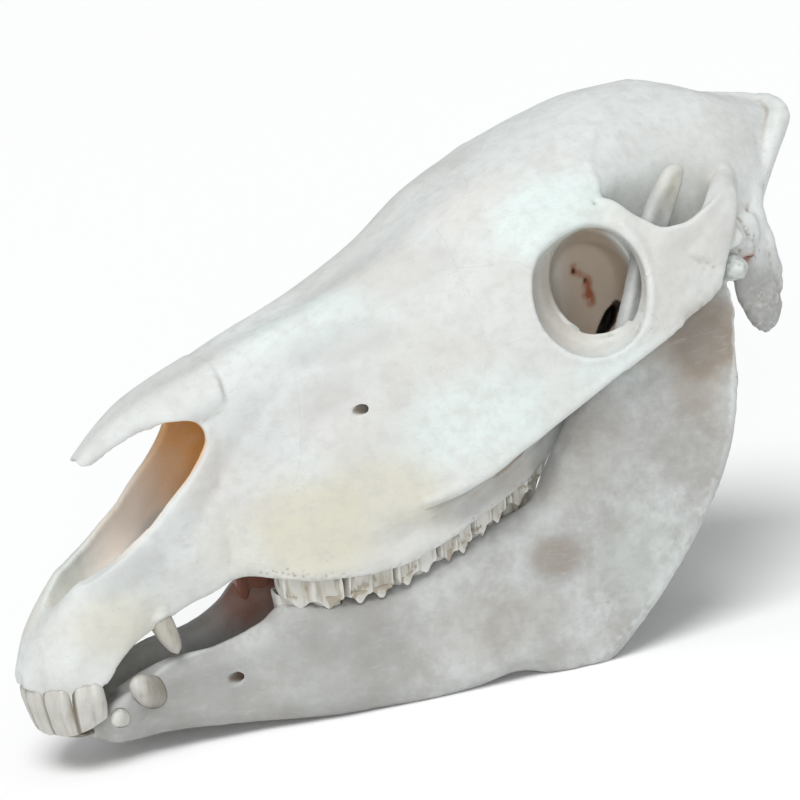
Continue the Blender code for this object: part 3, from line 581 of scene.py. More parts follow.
def to_stretches(points, path):
    """For each stretch of the path, the ways from the points to it."""
    for start, end in zip(path[:-1], path[1:]):
        start, run = np.array(start, float), np.subtract(end, start).astype(float)
        t = np.clip((points - start) @ run / (run @ run), 0, 1)
        yield start + t[:, None] * run - points


def line_distance(points, path):
    """How far each point is from the path."""
    return np.min([np.linalg.norm(way, axis=1) for way in to_stretches(points, path)], axis=0)


def soft(value, low, high):
    """A smooth step from 0 at low to 1 at high."""
    t = np.clip((value - low) / (high - low), 0, 1)
    return t * t * (3 - 2 * t)


def fading(value, low, high):
    """A smooth step from 1 at low to 0 at high."""
    return 1 - soft(value, low, high)


def within(value, low, full, fall, end):
    """Rises from 0 at low to 1 at full, and drops from 1 at fall to 0 at the end."""
    return soft(value, low, full) * fading(value, fall, end)


class Skin:
    """A mesh's points in the skull's millimetres, and their outward directions."""

    def __init__(self, thing):
        self.mesh = thing.data
        self.points = self.read(self.mesh.vertices, "co") / MM
        self.refresh()

    @staticmethod
    def read(items, name):
        values = np.empty(len(items) * 3, np.float32)
        items.foreach_get(name, values)
        return values.reshape(-1, 3).astype(float)

    def refresh(self):
        self.normals = self.read(self.mesh.vertex_normals, "vector")

    @property
    def left(self):
        return np.column_stack([self.points[:, 0], -np.abs(self.points[:, 1]), self.points[:, 2]])

    @property
    def inward(self):
        """How far the skin faces the middle of the skull."""
        return -self.normals[:, 1] * np.sign(self.points[:, 1])

    def raised(self, height):
        self.points += self.normals * np.asarray(height)[:, None]

    def lines(self, rows):
        """Raises or sinks the skin along each path, on both sides."""
        left = self.left
        height = np.zeros(len(left))
        for path, width, rise in rows:
            spread = 3 * width
            low, high = np.min(path, axis=0) - spread, np.max(path, axis=0) + spread
            near = np.where(np.all((left > low) & (left < high), axis=1))[0]
            away = line_distance(left[near], path)
            height[near] += rise * np.exp(-(away / width) ** 2)
        self.raised(height)

    def pitted(self, places, radius, depth):
        """Sinks a small pit at each place."""
        height = np.zeros(len(self.points))
        for place in places:
            near = np.where(np.all(np.abs(self.points - place) < 3 * radius, axis=1))[0]
            away = np.linalg.norm(self.points[near] - place, axis=1)
            height[near] -= depth * np.exp(-(away / radius) ** 2)
        self.raised(height)

    def write(self):
        self.mesh.vertices.foreach_set("co", (self.points * MM).astype(np.float32).ravel())
        self.mesh.update()

    def mark(self, name, values):
        """Keeps a value at each point for the material to read."""
        kept = self.mesh.attributes
        attribute = kept.get(name) or kept.new(name, "FLOAT", "POINT")
        attribute.data.foreach_set("value", np.asarray(values, np.float32))


def hollowness(thing, rounds):
    """How far the skin stands out of its own smoothed shape, in millimetres."""
    skin = Skin(thing)
    return np.sum((skin.points - evened(thing, rounds)) * skin.normals, axis=1)


def edged(bone):
    """Marks where the carved skin stands out or lies deep, for painted highlights and painted
    shade, and every point as kept so far.
    """
    skin = Skin(bone)
    skin.mark("edge", np.clip(hollowness(bone, 6) / 0.25 + 0.35 * hollowness(bone, 60), -1, 1))
    skin.mark("kept", np.ones(len(skin.points)))
    return skin


def facing(skin, path, reach):
    """1 where the skin faces the path from within its reach, as the walls of a hollow do."""
    mask = np.zeros(len(skin.points))
    for way in to_stretches(skin.points, path):
        away = np.linalg.norm(way, axis=1)
        turned = np.sum(way * skin.normals, axis=1) / (away + 1e-6)
        mask = np.maximum(mask, soft(turned, 0.0, 0.3) * fading(away, 0.85 * reach, reach))
    return mask


def in_side_view(left):
    """Where the left side's places show on the orbit's wall, along the slit's direction."""
    run_in = EYE_WALL_Y - left[:, 1]
    return (left + run_in[:, None] * np.array(INTO_EYE)) * (1, 0, 1)


def worn(skin, seed, amount, places=()):
    """The unevenness of real bone, rougher within the reach of each (place, reach, height)."""
    height = 0.22 * noise(skin.points, 22, seed) + 0.10 * noise(skin.points, 7, seed + 1)
    height += 0.035 * noise(skin.points, 2.4, seed + 2)
    left = skin.left
    for place, reach, rise in places:
        near = fading(np.linalg.norm(left - place, axis=1), 0.4 * reach, reach)
        fine = noise(skin.points, 3.2, seed + 3) + 0.6 * noise(skin.points, 1.7, seed + 4)
        height += near * rise * fine
    skin.raised(amount * height)


# The cranium

def incisor_bed():
    """The end of the muzzle that the incisors stand in."""
    turn = np.radians(np.linspace(-84, 84, 61))
    rings = []
    for z, reach in ((44, 0.90), (34, 0.955), (29, 0.945), (24, 0.93), (21, 0.91), (19.5, 0.87),
                     (19.5, 0.78), (24, 0.66), (28, 0.5)):
        x = ARCH_CENTRE[0] - ARCH_RADII[0] * reach * np.cos(turn)
        y = -ARCH_RADII[1] * reach * np.sin(turn)
        rings.append(np.column_stack([x, y, np.full(len(x), float(z))]))
    return wrapped(rings)


def nuchal_crest():
    rim = ((420, -41, 204, 5, 7), (426, -37, 220, 6, 8), (437, -32, 235, 6, 8),
           (452, -24, 252, 6, 8), (461, -16, 261, 6, 7), (463, 0, 264, 6, 7))
    return limb(rim, sideways=(1, 0, 0))


def left_bones():
    """Limbs and lumps of the left side that the long shapes don't hold."""
    glenoid = limb(((385, -50, 211, 10, 6), (384, -72, 210, 10, 5), (379, -88, 210, 7, 6)),
                   sideways=(1, 0, 0))
    tongue = limb(((360, -91, 202, 14, 4.5), (367, -90, 214, 12, 4.5), (374, -87, 224, 10, 4.5),
                   (381, -80, 231, 8.5, 5), (390, -66, 234, 7, 7), (404, -50, 234, 5, 8)),
                  sideways=(1, 0, 0))
    ear = ball((397, -58, 206), (8, 9, 11), 20)
    mastoid = limb(((430, -33, 238, 6, 7), (424, -38, 226, 8, 9), (418, -43, 212, 8, 11),
                    (413, -47, 198, 8, 12), (411, -49, 186, 5, 10)))
    beside_condyle = limb(((417, -45, 206, 7, 14), (417, -50, 188, 6, 15), (416.5, -53, 173, 6, 15),
                           (417.5, -55, 162, 5, 12), (418, -55, 153, 3.5, 8),
                           (418, -55, 149, 1, 2)))
    behind_joint = limb(((392, -50, 208, 5, 6), (393, -57, 197, 4, 5)))
    base = limb(((404, -30, 196, 12, 18), (402, -34, 180, 9, 14)))
    pterygoid = plate(((262, -26, -24, 112, 150, 7), (285, -24, -22, 112, 156, 6),
                       (305, -22, -21, 114, 160, 5), (322, -20, -20, 124, 166, 5),
                       (336, -20, -22, 140, 170, 6), (350, -20, -24, 156, 174, 6)))
    condyle = ball((430, -22, 188), (18, 12, 18), 20)
    eye_wall = limb(((314, -24, 188, 34, 44), (311, -46, 190, 33, 42), (303, -58, 194, 26, 36),
                     (298, -64, 198, 19, 28)), sideways=(1, 0, 0), count=48)
    eye_floor = limb(((274, -62, 160, 12, 10), (288, -67, 161, 13, 10), (299, -71, 162, 12, 8.5),
                      (306, -74, 163, 10, 7), (313, -77, 168.5, 8.5, 4), (320, -84, 172.5, 7, 3)))
    tuber = limb(((258, -44, 100, 9, 12), (280, -46, 119, 9, 12), (304, -47, 139, 9, 10)))
    collar = limb(((62, -15, 78, 5, 6), (64.5, -17, 70, 6.5, 8), (67, -20, 62, 6.6, 7.8),
                   (68.3, -22, 57.5, 6, 6.8)))
    ear_lumps = [ball((404, -59, 196), (7, 8, 9), 10), ball((411, -53, 205), (8, 7, 12), 0),
                 limb(((422, -46, 214, 5, 6), (424, -49, 196, 4.5, 7), (427, -52, 178, 3, 6)))]
    return [glenoid, tongue, ear, mastoid, beside_condyle, behind_joint, base, pterygoid, condyle,
            eye_wall, eye_floor, tuber, collar, *ear_lumps, nuchal_crest()]


def cranium(size):
    """The whole cranium as one skin, hollowed and carved."""
    long_shapes = [loft(FACE), loft(MUZZLE), loft(NASAL_SPIKE), loft(CORE)]
    crest = limb(((372, 0, 284, 4, 4), (400, 0, 279, 3, 5), (417, 0, 273, 3.5, 5),
                  (433, 0, 270, 4, 5), (448, 0, 267, 5, 6), (460, 0, 263, 6, 7)))
    sides = on_both_sides([loft(CHEEK_PLATE, both_sides=False), *left_bones()])
    bone = joined("cranium", [*long_shapes, incisor_bed(), crest, *sides])
    remeshed(bone, size)
    orbit = limb(((292, -104, 202, 36, 38), (298, -83, 196, 31.5, 34.5),
                  (303.5, -74, 197, 26.5, 30.5), (308, -67, 197, 23, 27.5),
                  (311, -61, 194.5, 22, 28), (315, -54, 188.5, 21.5, 29.5), (317, -45, 184, 20, 30),
                  (317.5, -39, 183, 15, 24), (317.8, -36.5, 183, 8, 13),
                  (317.9, -35.8, 183, 2.5, 4)), sideways=(1, 0, 0), count=64, steps=60)
    slot = prism(EYE_SLIT, 0, 1)
    for vert in slot.verts:
        deep = SLIT_ENDS[round(vert.co.y)]
        vert.co = Vector((vert.co.x, EYE_WALL_Y, vert.co.z)) + INTO_EYE * (deep - EYE_WALL_Y)
    foramen = limb(((174, -48, 149, 1.8, 1.6), (181, -45.5, 150, 3.0, 2.4),
                    (188, -42.5, 150.5, 2.6, 2.4)))
    brow_hole = limb(((311, -74, 246, 1.6, 1.6), (311, -64, 226, 1.6, 1.6)))
    nose_end = prism(rounded(NOSE_EDGE, 96), -46, -8)
    run = np.arange(CREST_EDGE[0][0], CREST_EDGE[-1][0], 1.0)
    under_crest = wrapped([[(x, y - 14, z + 1.2), (x, y + 0.4, z + 0.5), (x, y + 5, z - 1.0),
                            (x, low_y - 1, low_z + 2.5), (x, low_y, low_z),
                            (x, low_y - 1, low_z - 10), (x, y - 14, z - 20)]
                           for x, (y, z, low_y, low_z) in zip(run, along(CREST_EDGE, run))])
    ear_hole = limb(((406, -72, 189, 5, 5), (404, -58, 191, 4.5, 4.5), (400, -46, 196, 3, 3)),
                    sideways=(1, 0, 0))
    throat = limb(((318, 0, 112, 14, 18), (262, 0, 122, 15, 17), (226, 0, 136, 13, 11)))
    spine = limb(((452, 0, 196, 14, 14), (428, 0, 204, 13, 14), (405, 0, 212, 9, 10)))
    paired = on_both_sides([orbit, slot, foramen, brow_hole, nose_end, ear_hole])
    cut_out(bone, [loft(NOSE_HOLLOW), throat, spine, *paired])
    remeshed(bone, size)
    skin = Skin(bone)
    left = skin.left
    rear = soft(left[:, 0], 374, 392) * soft(-left[:, 1], 20, 34)
    flat = in_side_view(left)
    in_orbit = within(left[:, 0], 272, 282, 328, 338) * soft(left[:, 2], 148, 154)
    in_orbit *= within(-left[:, 1], 30, 36, 78, 84) * soft(line_distance(flat, SLIT), 3, 9)
    softened(bone, np.maximum(rear, in_orbit), 36)
    smoothed(bone, 8)
    cut_out(bone, on_both_sides([under_crest]))
    smoothed(bone, 1)
    return bone


def tooth_bulges(skin, low, height, reach):
    """The swellings of the bone over the roots of the cheek teeth."""
    left = skin.left
    rise = np.zeros(len(left))
    for front, back in CHEEK_TEETH:
        middle, half = 0.5 * (front + back), 0.5 * (back - front)
        over = np.exp(-((left[:, 0] - middle) / (0.55 * half)) ** 2)
        level = left[:, 2] - along(CUSP_LINE, [middle])[0, 0]
        outside = soft(-left[:, 1] + along(CHEEK_OUTER, [middle])[0, 0], -6, 0)
        rise += height * over * outside * within(level, low, low + 8, reach - 14, reach)
    return rise


def carved_head(bone):
    """Gives the cranium its lines, swellings, pores and wear."""
    skin = Skin(bone)
    skin.lines(HEAD_LINES)
    skin.raised(tooth_bulges(skin, 8, 0.7, 44))
    skin.write()
    skin.refresh()
    rng = np.random.default_rng(8)
    at = rng.uniform(112, 262, PORES)
    pores = np.column_stack([at, along(GUM_LINE, at)])
    pores += rng.uniform((0, 0, 0.5), (0, 0, 6.0), (PORES, 3))
    for side in SIDES:
        skin.pitted(pores * (1, -side, 1), 0.9, 0.55)
    rough = (((462, 0, 262), 26, 0.16), ((404, -58, 200), 18, 0.45), ((424, -52, 180), 26, 0.30),
             ((440, -33, 236), 20, 0.15), ((416, -54, 160), 22, 0.40),
             ((398, -62, 200), 22, 0.35), ((366, -92, 190), 20, 0.30), ((345, -93, 178), 22, 0.18),
             ((322, -92, 176), 12, 0.30))
    worn(skin, 1, 1.0, rough)
    skin.write()


def marked_head(bone):
    """Marks the places that the material stains, and where it paints shade and light."""
    skin = edged(bone)
    left = skin.left
    nose = facing(skin, ((40, 0, 112), (75, 0, 130), (112, 0, 142), (200, 0, 166)), 46)
    # The orange stain in the nose, with its colour made bright as painted light in the deep cavity
    skin.mark("stain", nose * soft(left[:, 0] + 0.35 * (left[:, 2] - 120), 68, 122))
    sockets = np.maximum(*(facing(skin, ((296, 84 * side, 198), (296, 50 * side, 193)), 34)
                           for side in SIDES))
    throat = facing(skin, ((318, 0, 112), (226, 0, 136)), 24)
    spine = facing(skin, ((446, 0, 198), (405, 0, 212)), 20)
    wobble = 1.6 * noise(left, 5.0, 61) + 0.9 * noise(left, 2.2, 62)
    flat = in_side_view(left)
    off_wall = (left[:, 1] < -62) | (left[:, 1] > -20)
    eye_line = line_distance(flat, EYE_STAIN) + wobble + 9.0 * off_wall
    ear_line = line_distance(left, ((406, -66, 189), (400, -46, 196)))
    skin.mark("rust", np.maximum(fading(eye_line, 0.4, 4.2), 0.85 * fading(ear_line, 4, 10)))
    deep = sockets * fading(-left[:, 1], 50, 82)
    # Painted shade: the slit at the back of the orbit and the middles of its pits painted near
    # black
    slit = [(x, 0, z) for x, z in EYE_SLIT]
    slit_line = np.minimum(line_distance(flat, slit[:4]), line_distance(flat, slit[3:] + slit[:1]))
    slit_line = np.minimum(slit_line, line_distance(flat, SLIT) - 2.0)
    pit_away = np.min([np.linalg.norm(flat - pit, axis=1) for pit in EYE_PITS], axis=0)
    pit_away += 0.4 * wobble
    in_eye = (left[:, 1] > -58) & (left[:, 1] < -20)
    skin.mark("black", in_eye * np.maximum(fading(slit_line, 0.5, 1.2), fading(pit_away, 0.9, 2.0)))
    # Painted shade inside the throat and the hole for the spine
    skin.mark("dirt", 0.8 * np.maximum(throat, spine))
    # The orbit's wall painted beige and darker deeper in: its own tone with painted shade
    bowl = fading(line_distance(flat, ((308, 0, 198), (318, 0, 184))), 26, 32)
    bowl *= within(-left[:, 1], 26, 32, 56, 64) * soft(left[:, 0], 296, 313)
    skin.mark("beige", np.maximum(0.45 * deep, 0.85 * bowl))
    # Painted light: the nose's walls made pale so that the deep cavity looks lit, over their own
    # pinkish tone
    skin.mark("nose", soft(nose, 0.5, 0.95) * soft(left[:, 0], 40, 66))
    # Painted shade in the band under the facial crest's edge
    edge_z, low_y = along(CREST_EDGE, left[:, 0])[:, [1, 2]].T
    below = edge_z - left[:, 2]
    shade = within(below, -0.2, 1.0, 12, 34) * (1 - 0.35 * soft(below, 2.5, 8))
    shade *= soft((left[:, 0] - 203 - 0.4 * below) / (2 + 1.3 * np.maximum(below, 0)), 0, 1)
    skin.mark("shade", shade * fading(left[:, 0], 300, 314) * soft(low_y + 12 - left[:, 1], 0, 4))
    # Reddish brown with painted shade on the inner walls beside the front cheek teeth
    inside = soft(skin.inward, -0.1, 0.5) * fading(np.abs(left[:, 0] - 134), 16, 34)
    skin.mark("mouth", inside * (left[:, 1] < -8) * (left[:, 1] > -46) * (left[:, 2] < 90))


MARKS = ("edge", "stain", "dirt", "beige", "nose", "shade", "rust", "black", "mouth")


def filled(bone, names):
    """Gives the points that a cut made the values of the points beside them."""
    mesh = bone.data
    ends = np.empty(2 * len(mesh.edges), np.int32)
    mesh.edges.foreach_get("vertices", ends)
    first, second = np.concatenate([ends.reshape(-1, 2), ends.reshape(-1, 2)[:, ::-1]]).T
    columns = []
    for name in ("kept", *names):
        column = np.empty(len(mesh.vertices), np.float32)
        mesh.attributes[name].data.foreach_get("value", column)
        columns.append(column.astype(float))
    known = columns[0] > 0.99
    for _ in range(3):
        count = np.bincount(first, weights=known[second], minlength=len(known))
        made = ~known & (count > 0)
        for column in columns:
            total = np.bincount(first, weights=np.where(known, column, 0)[second],
                                minlength=len(known))
            column[made] = total[made] / count[made]
        known |= made
    for name, column in zip(names, columns[1:]):
        mesh.attributes[name].data.foreach_set("value", column.astype(np.float32))


# Parting the bones

def wavy(outline, reach=0.8, wave=5.0, seed=0):
    """The outline with the fine waves of a suture."""
    corners = np.asarray(outline, float)
    points = []
    for start, end in zip(corners, np.roll(corners, -1, axis=0)):
        run = end - start
        count = max(1, int(np.linalg.norm(run) / 1.6))
        across = np.array((-run[1], run[0])) / np.linalg.norm(run)
        for t in np.arange(count) / count:
            place = start + t * run
            ends = math.sin(math.pi * t) ** 0.5
            spot = np.array([[place[0], seed * 31.0, place[1]]])
            shift = noise(spot, wave, seed)[0] + 0.5 * noise(spot, wave * 0.45, seed + 9)[0]
            points.append(place + across * ends * reach * shift)
    return points


def nasal_region():
    rings = []
    edge = np.asarray(NASAL_EDGE, float)
    for x in np.arange(edge[0, 0], edge[-1, 0] + 1, 2.0):
        y, low = along(edge, [x])[0]
        low += 0.6 * noise(np.array([[x, 0.0, 0.0]]), 5.0, 4)[0]
        rings.append([(x, 0, 340), (x, y, 340), (x, y, low), (x, 0, low), (x, -y, low),
                      (x, -y, 340)])
    return wrapped(rings)


def grown(region, by):
    """The region with each face moved out, which leaves the gap of a suture beside it."""
    twin = region.copy()
    bmesh.ops.recalc_face_normals(twin, faces=twin.faces)
    twin.normal_update()
    moves = [vert.normal * by * vert.calc_shell_factor() for vert in twin.verts]
    for vert, move in zip(twin.verts, moves):
        vert.co += move
    return twin


def parted(rest, name, region, gap):
    """Takes the bone in the region off the rest, with a suture's gap between them."""
    bone = copied(rest, name)
    cut = grown(region, gap)
    combined(bone, [as_object("region", region)], "INTERSECT")
    largest_only(bone)
    cut_out(rest, [cut])
    return bone


def side_name(side):
    return "left" if side < 0 else "right"


def halved(bone, name, gap):
    """The left and the right bone of a pair that meets in the middle."""
    pieces = []
    for side in SIDES:
        inner, outer = sorted((side * 0.5 * gap, side * WIDEST))
        half = prism(((-60, -60), (-60, 400), (560, 400), (560, -60)), inner, outer)
        piece = copied(bone, f"{name}_{side_name(side)}_bone")
        combined(piece, [as_object("half", half)], "INTERSECT")
        largest_only(piece)
        pieces.append(piece)
    bpy.data.objects.remove(bone, do_unlink=True)
    return pieces


def in_sutures(head, gap, reach):
    """Parts the cranium into its bones."""
    def slab(outline, seed, inner=-WIDEST, outer=WIDEST):
        return prism(wavy(outline, reach, seed=seed), *sorted((inner, outer)))

    def pair(name, region):
        return halved(parted(head, name, region, gap), name, gap)

    bones = [parted(head, "occipital_bone", slab(OCCIPUT, 1), gap), *pair("nasal", nasal_region())]
    bones += pair("premaxilla", slab(PREMAXILLA, 2)) + pair("maxilla", slab(MAXILLA, 3))
    for name, outline, inner in (("zygomatic", ZYGOMATIC, 48), ("temporal", TEMPORAL, 46),
                                 ("lacrimal", LACRIMAL, 44)):
        for side in SIDES:
            region = slab(outline, 5, side * inner, side * WIDEST)
            bones.append(parted(head, f"{name}_{side_name(side)}_bone", region, gap))
    bones += pair("frontal", slab(FRONTAL, 6))
    largest_only(head)
    head.name = "braincase_bone"
    return [*bones, head]


# The lower jaw

def jaw(size):
    condyle = limb(((381, -60, 192, 6, 6), (381, -68, 194, 7.5, 7), (381, -80, 195, 8, 7),
                    (380.5, -88, 193.5, 7, 6), (380, -92, 193, 5.5, 4.5),
                    (380, -94.5, 192.5, 2.5, 2)), sideways=(1, 0, 0))
    halves = on_both_sides([plate(JAW_SIDE), plate(CORONOID), condyle])
    bone = joined("jaw", [loft(CHIN), *halves])
    remeshed(bone, size)
    hole = limb(((92, -38, 21.5, 3.2, 2.6), (103, -30, 22, 3.0, 2.5), (112, -25, 23, 2.4, 2.2)))
    speck = limb(((99, -36, 38, 1.0, 1.0), (104, -26, 36, 1.0, 1.0)))
    cut_out(bone, on_both_sides([hole, speck]))
    remeshed(bone, size)
    smoothed(bone, 7)
    return bone


def carved_jaw(bone):
    """Gives the jaw its lines, wear and the ridges of its angle."""
    skin = Skin(bone)
    skin.lines(JAW_LINES)
    skin.write()
    skin.refresh()
    rough = (((381, -88, 194), 16, 0.7), ((300, -86, 14), 45, 0.22), ((345, -90, 66), 40, 0.22),
             ((366, -91, 120), 30, 0.15), ((34, 0, 10), 20, 0.2))
    worn(skin, 21, 1.1, rough)
    left = skin.left
    angle = fading(np.linalg.norm(left - (320, -86, 55), axis=1), 30, 75)
    skin.raised(0.25 * angle * noise(skin.points @ turned_to(38).T, (16, 30, 3.2), 31))
    skin.write()


def marked_jaw(bone):
    """Marks the mouth's reddish brown and painted shade, and the painted shade in the hole of the
    jaw's nerve.
    """
    skin = edged(bone)
    left = skin.left
    for name in ("beige", "stain", "nose", "shade", "rust", "black"):
        skin.mark(name, np.zeros(len(left)))
    # The mouth's reddish brown with painted shade on the jaw's inner walls
    mouth = soft(skin.inward, -0.1, 0.4) * fading(np.abs(left[:, 0] - 138), 14, 44)
    mouth *= soft(left[:, 2], 16, 42)
    skin.mark("mouth", mouth * (0.35 + 0.6 * soft(left[:, 0], 112, 132)))
    # Painted shade in the hole of the jaw's nerve
    hole = np.minimum(np.linalg.norm(left - (107, -27, 22), axis=1) / 5.0, 1)
    skin.mark("dirt", 1 - hole)


def turned_to(degrees):
    """Turns side-view directions so that x runs along the given slope."""
    turn = math.radians(degrees)
    return np.array(((math.cos(turn), 0, math.sin(turn)), (0, 1, 0),
                     (-math.sin(turn), 0, math.cos(turn))))


# Teeth

def row_edge(x):
    return float(along(CHEEK_OUTER, [x])[0, 0])


def cusp_height(x):
    return float(along(CUSP_LINE, [x])[0, 0])


def bite_height(x, y):
    """The height that the upper and the lower cheek teeth meet at."""
    return cusp_height(x) + 2.5 + BITE_SLOPE * (y - row_edge(x))


def bump(u, middle, width):
    return math.exp(-((u - middle) / width) ** 2)


def upper_outline(first, count=44):
    """The plan of an upper cheek tooth: (share of its length, share inwards, drop of the edge)."""
    plan = []
    ribs = ((0.055, 0.05), (0.5, 0.055), (0.95, 0.045))
    for u in np.linspace(0.0, 1.0, count):
        out = max(bump(u, middle, width) for middle, width in ribs)
        corner = bump(u, 0.0, 0.03) + bump(u, 1.0, 0.03)
        v = 1.0 + 1.9 * (1 - out) + 2.4 * corner
        drop = 3.2 - 4.6 * max(bump(u, 0.27, 0.12), bump(u, 0.735, 0.12))
        plan.append((0.012 + 0.976 * u, v, drop))
    inner = UPPER_WIDTH
    front_in = 0.5 * inner if first else inner - 5
    tail = ((1.0, 0.35 * inner), (0.985, inner - 5), (0.9, inner - 2), (0.74, inner - 0.6),
            (0.62, inner - 2.6), (0.52, inner - 0.4), (0.36, inner), (0.22, inner - 1.0),
            (0.12, inner - 3.2), (0.03, front_in), (0.0, 0.3 * inner))
    return plan + [(u, v, None) for u, v in tail]


def upper_cheek_tooth(front, back, first, seed):
    plan = upper_outline(first)
    rng = np.random.default_rng(seed)
    lean, jut = rng.uniform(-0.6, 0.6), rng.uniform(-0.5, 0.5)
    middle = 0.5 * (front + back)
    rings = []
    for lift, spread in ((26, 0.90), (18, 0.95), (12, 0.97), (8, 0.985), (5, 0.99), (3, 0.99),
                         (1.2, 0.985), (0.0, 0.96)):
        ring = []
        for u, v, drop in plan:
            x = middle + (back - front) * (u - 0.5) * spread + lean * (lift - 12) / 12
            y = row_edge(x) + 0.5 * UPPER_WIDTH + (v - 0.5 * UPPER_WIDTH) * (0.99 if lift else 0.95)
            if drop is None:
                base = bite_height(x, y) + BITE_GAP
            else:
                base = cusp_height(x) + drop + jut * 0.4
            ring.append((x, y, base + lift))
        rings.append(ring)
    grinding = []
    for u, v, _ in plan:
        x = middle + (back - front) * (u - 0.5) * 0.84
        inset = min(max(v, 3.0), UPPER_WIDTH - 2)
        y = row_edge(x) + inset
        level = bite_height(x, y) + BITE_GAP + 0.8
        grinding.append((x, y, max(level, cusp_height(x) + 1.0)))
    rings.append(grinding)
    return wrapped(rings)


def lower_cheek_tooth(front, back):
    inset = FIRST_LOWER_INSET if front == CHEEK_TEETH[0][0] else LOWER_INSET
    wide = LOWER_WIDTH
    corners = ((0.03, 2), (0.14, 0.4), (0.25, 0), (0.38, 0.5), (0.48, 2.4), (0.58, 0.6), (0.75, 0),
               (0.88, 0.5), (0.97, 2), (0.985, 0.5 * wide), (0.95, wide - 2), (0.82, wide - 0.3),
               (0.68, wide - 1.8), (0.55, wide), (0.42, wide - 0.6), (0.28, wide - 2.0),
               (0.14, wide - 0.4), (0.03, wide - 2), (0.012, 0.5 * wide))
    plan = rounded([(u * (back - front), v) for u, v in corners], 72)
    rings = []
    for depth, spread in ((1.2, 0.8), (0.3, 0.93), (0.0, 0.96), (0.8, 0.995), (3, 1.0), (8, 0.99),
                          (16, 0.97), (24, 0.94)):
        ring = []
        for run, v in plan:
            x = 0.5 * (front + back) + (run - 0.5 * (back - front)) * spread
            y = row_edge(x) + inset + 0.5 * wide + (v - 0.5 * wide) * spread
            ring.append((x, y, bite_height(x, y) - BITE_GAP - depth))
        rings.append(ring)
    return wrapped(rings)


def on_arch(angle):
    """The directions out of the incisors' arch and along it."""
    turn = math.radians(angle)
    return (np.array((-math.cos(turn), -math.sin(turn))),
            np.array((math.sin(turn), -math.cos(turn))))


def upper_incisor(angle, width, rise, seed):
    out, across = on_arch(angle)
    rng = np.random.default_rng(seed)
    tilt = rng.uniform(-0.4, 0.4)
    profile = ((0.0, 0.0), (0.09, 0.0), (0.2, 0.02), (0.3, 0.07), (0.40, 0.22), (0.45, 0.45),
               (0.38, 0.78), (0.18, 0.97), (0.0, 1.0))
    corners = [(-u, v) for u, v in profile[:0:-1]] + [(u, v) for u, v in profile[:-1]]
    rings = []
    for z, reach, wide, deep in ((GUM_Z + 17, 0.74, 0.50, 8), (GUM_Z + 9, 0.84, 0.62, 9),
                                 (GUM_Z + 4, 0.92, 0.76, 10), (GUM_Z + 1, 0.99, 0.88, 10),
                                 (GUM_Z - 2, 1.035, 0.95, 10), (27, 1.035, 0.98, 10),
                                 (21, 0.99, 1.01, 9.6), (14, 0.935, 1.02, 9),
                                 (BITE_Z + 1.2, 0.885, 1.0, 8.5), (BITE_Z, 0.865, 0.95, 7.8),
                                 (BITE_Z + 0.7, 0.83, 0.66, 5.0)):
        front = np.array(ARCH_CENTRE) + out * ARCH_RADII * reach
        low = soft(GUM_Z - z, 0, GUM_Z - BITE_Z - 2)
        ring = []
        for u, v in rounded(corners, 64):
            groove = 0.07 * bump(u, 0.12, 0.08) * (1 - v) + 0.03 * bump(u, -0.22, 0.06) * (1 - v)
            place = front + across * (u * wide * width + tilt * (GUM_Z - z) / 24)
            place = place - out * (v + groove) * deep
            level = z + low * rise * (u + 0.5) + 0.2 * low * math.sin(9 * u + seed)
            ring.append((*place, level))
        rings.append(ring)
    return wrapped(rings)


def lower_incisor(angle, width):
    out, across = on_arch(angle)
    path = []
    for reach, z, wide, thick in ((0.62, 6.8, 0.30, 0.8), (0.60, 6.5, 0.40, 1.4),
                                  (0.52, 6.3, 0.46, 1.8), (0.30, 6.2, 0.44, 2.6),
                                  (0.0, 8.5, 0.34, 4.0)):
        place = np.array(ARCH_CENTRE) + out * ARCH_RADII * reach
        path.append((place[0], place[1], z, wide * width, thick))
    return limb(path, sideways=(*across, 0), steps=20)


UPPER_CANINE = ((65, -15, 70, 4.6, 6), (67.5, -20, 60, 5, 6.2), (70, -24, 51, 4.4, 5.6),
                (72.5, -26, 44, 3.0, 3.8), (73.4, -26.2, 41, 1.7, 2.1),
                (73.6, -26.2, 39.8, 0.5, 0.6))
LOWER_CANINE = ((64, -18, 16, 6, 7), (57, -24, 23.5, 6, 8), (51, -28, 28.5, 5, 6.2),
                (48, -29.6, 31, 3.6, 4.2), (46.5, -30.2, 32.2, 1.2, 1.4))
CORNER_TOOTH = ((52, -13, 9, 4, 5), (44, -20, 11.5, 4, 5), (39, -24.5, 14, 3.6, 4.8),
                (36.6, -26.4, 15.8, 2.4, 3.4), (35.8, -27, 16.4, 0.8, 1.0))


def upper_teeth(seed):
    incisors = [upper_incisor(*values, seed + i)
                for i, values in enumerate(zip(INCISOR_ANGLES, INCISOR_WIDTHS, BITE_RISES))]
    cheek = [upper_cheek_tooth(*span, i == 0, seed + i) for i, span in enumerate(CHEEK_TEETH)]
    return {"upper_incisor": incisors, "upper_canine": [limb(UPPER_CANINE, count=48)],
            "upper_cheek_tooth": cheek}


def lower_teeth():
    incisors = [lower_incisor(*pair) for pair in list(zip(INCISOR_ANGLES, INCISOR_WIDTHS))[:2]]
    cheek = [lower_cheek_tooth(*span) for span in CHEEK_TEETH]
    return {"lower_incisor": [*incisors, limb(CORNER_TOOTH, count=48)],
            "lower_canine": [limb(LOWER_CANINE, count=48)], "lower_cheek_tooth": cheek}


def sockets_cut(bone, teeth, gap):
    """Cuts the bone clear of its teeth, with a fine gap round each."""
    cut_out(bone, on_both_sides([grown(tooth, gap) for row in teeth.values() for tooth in row]))


# Materials

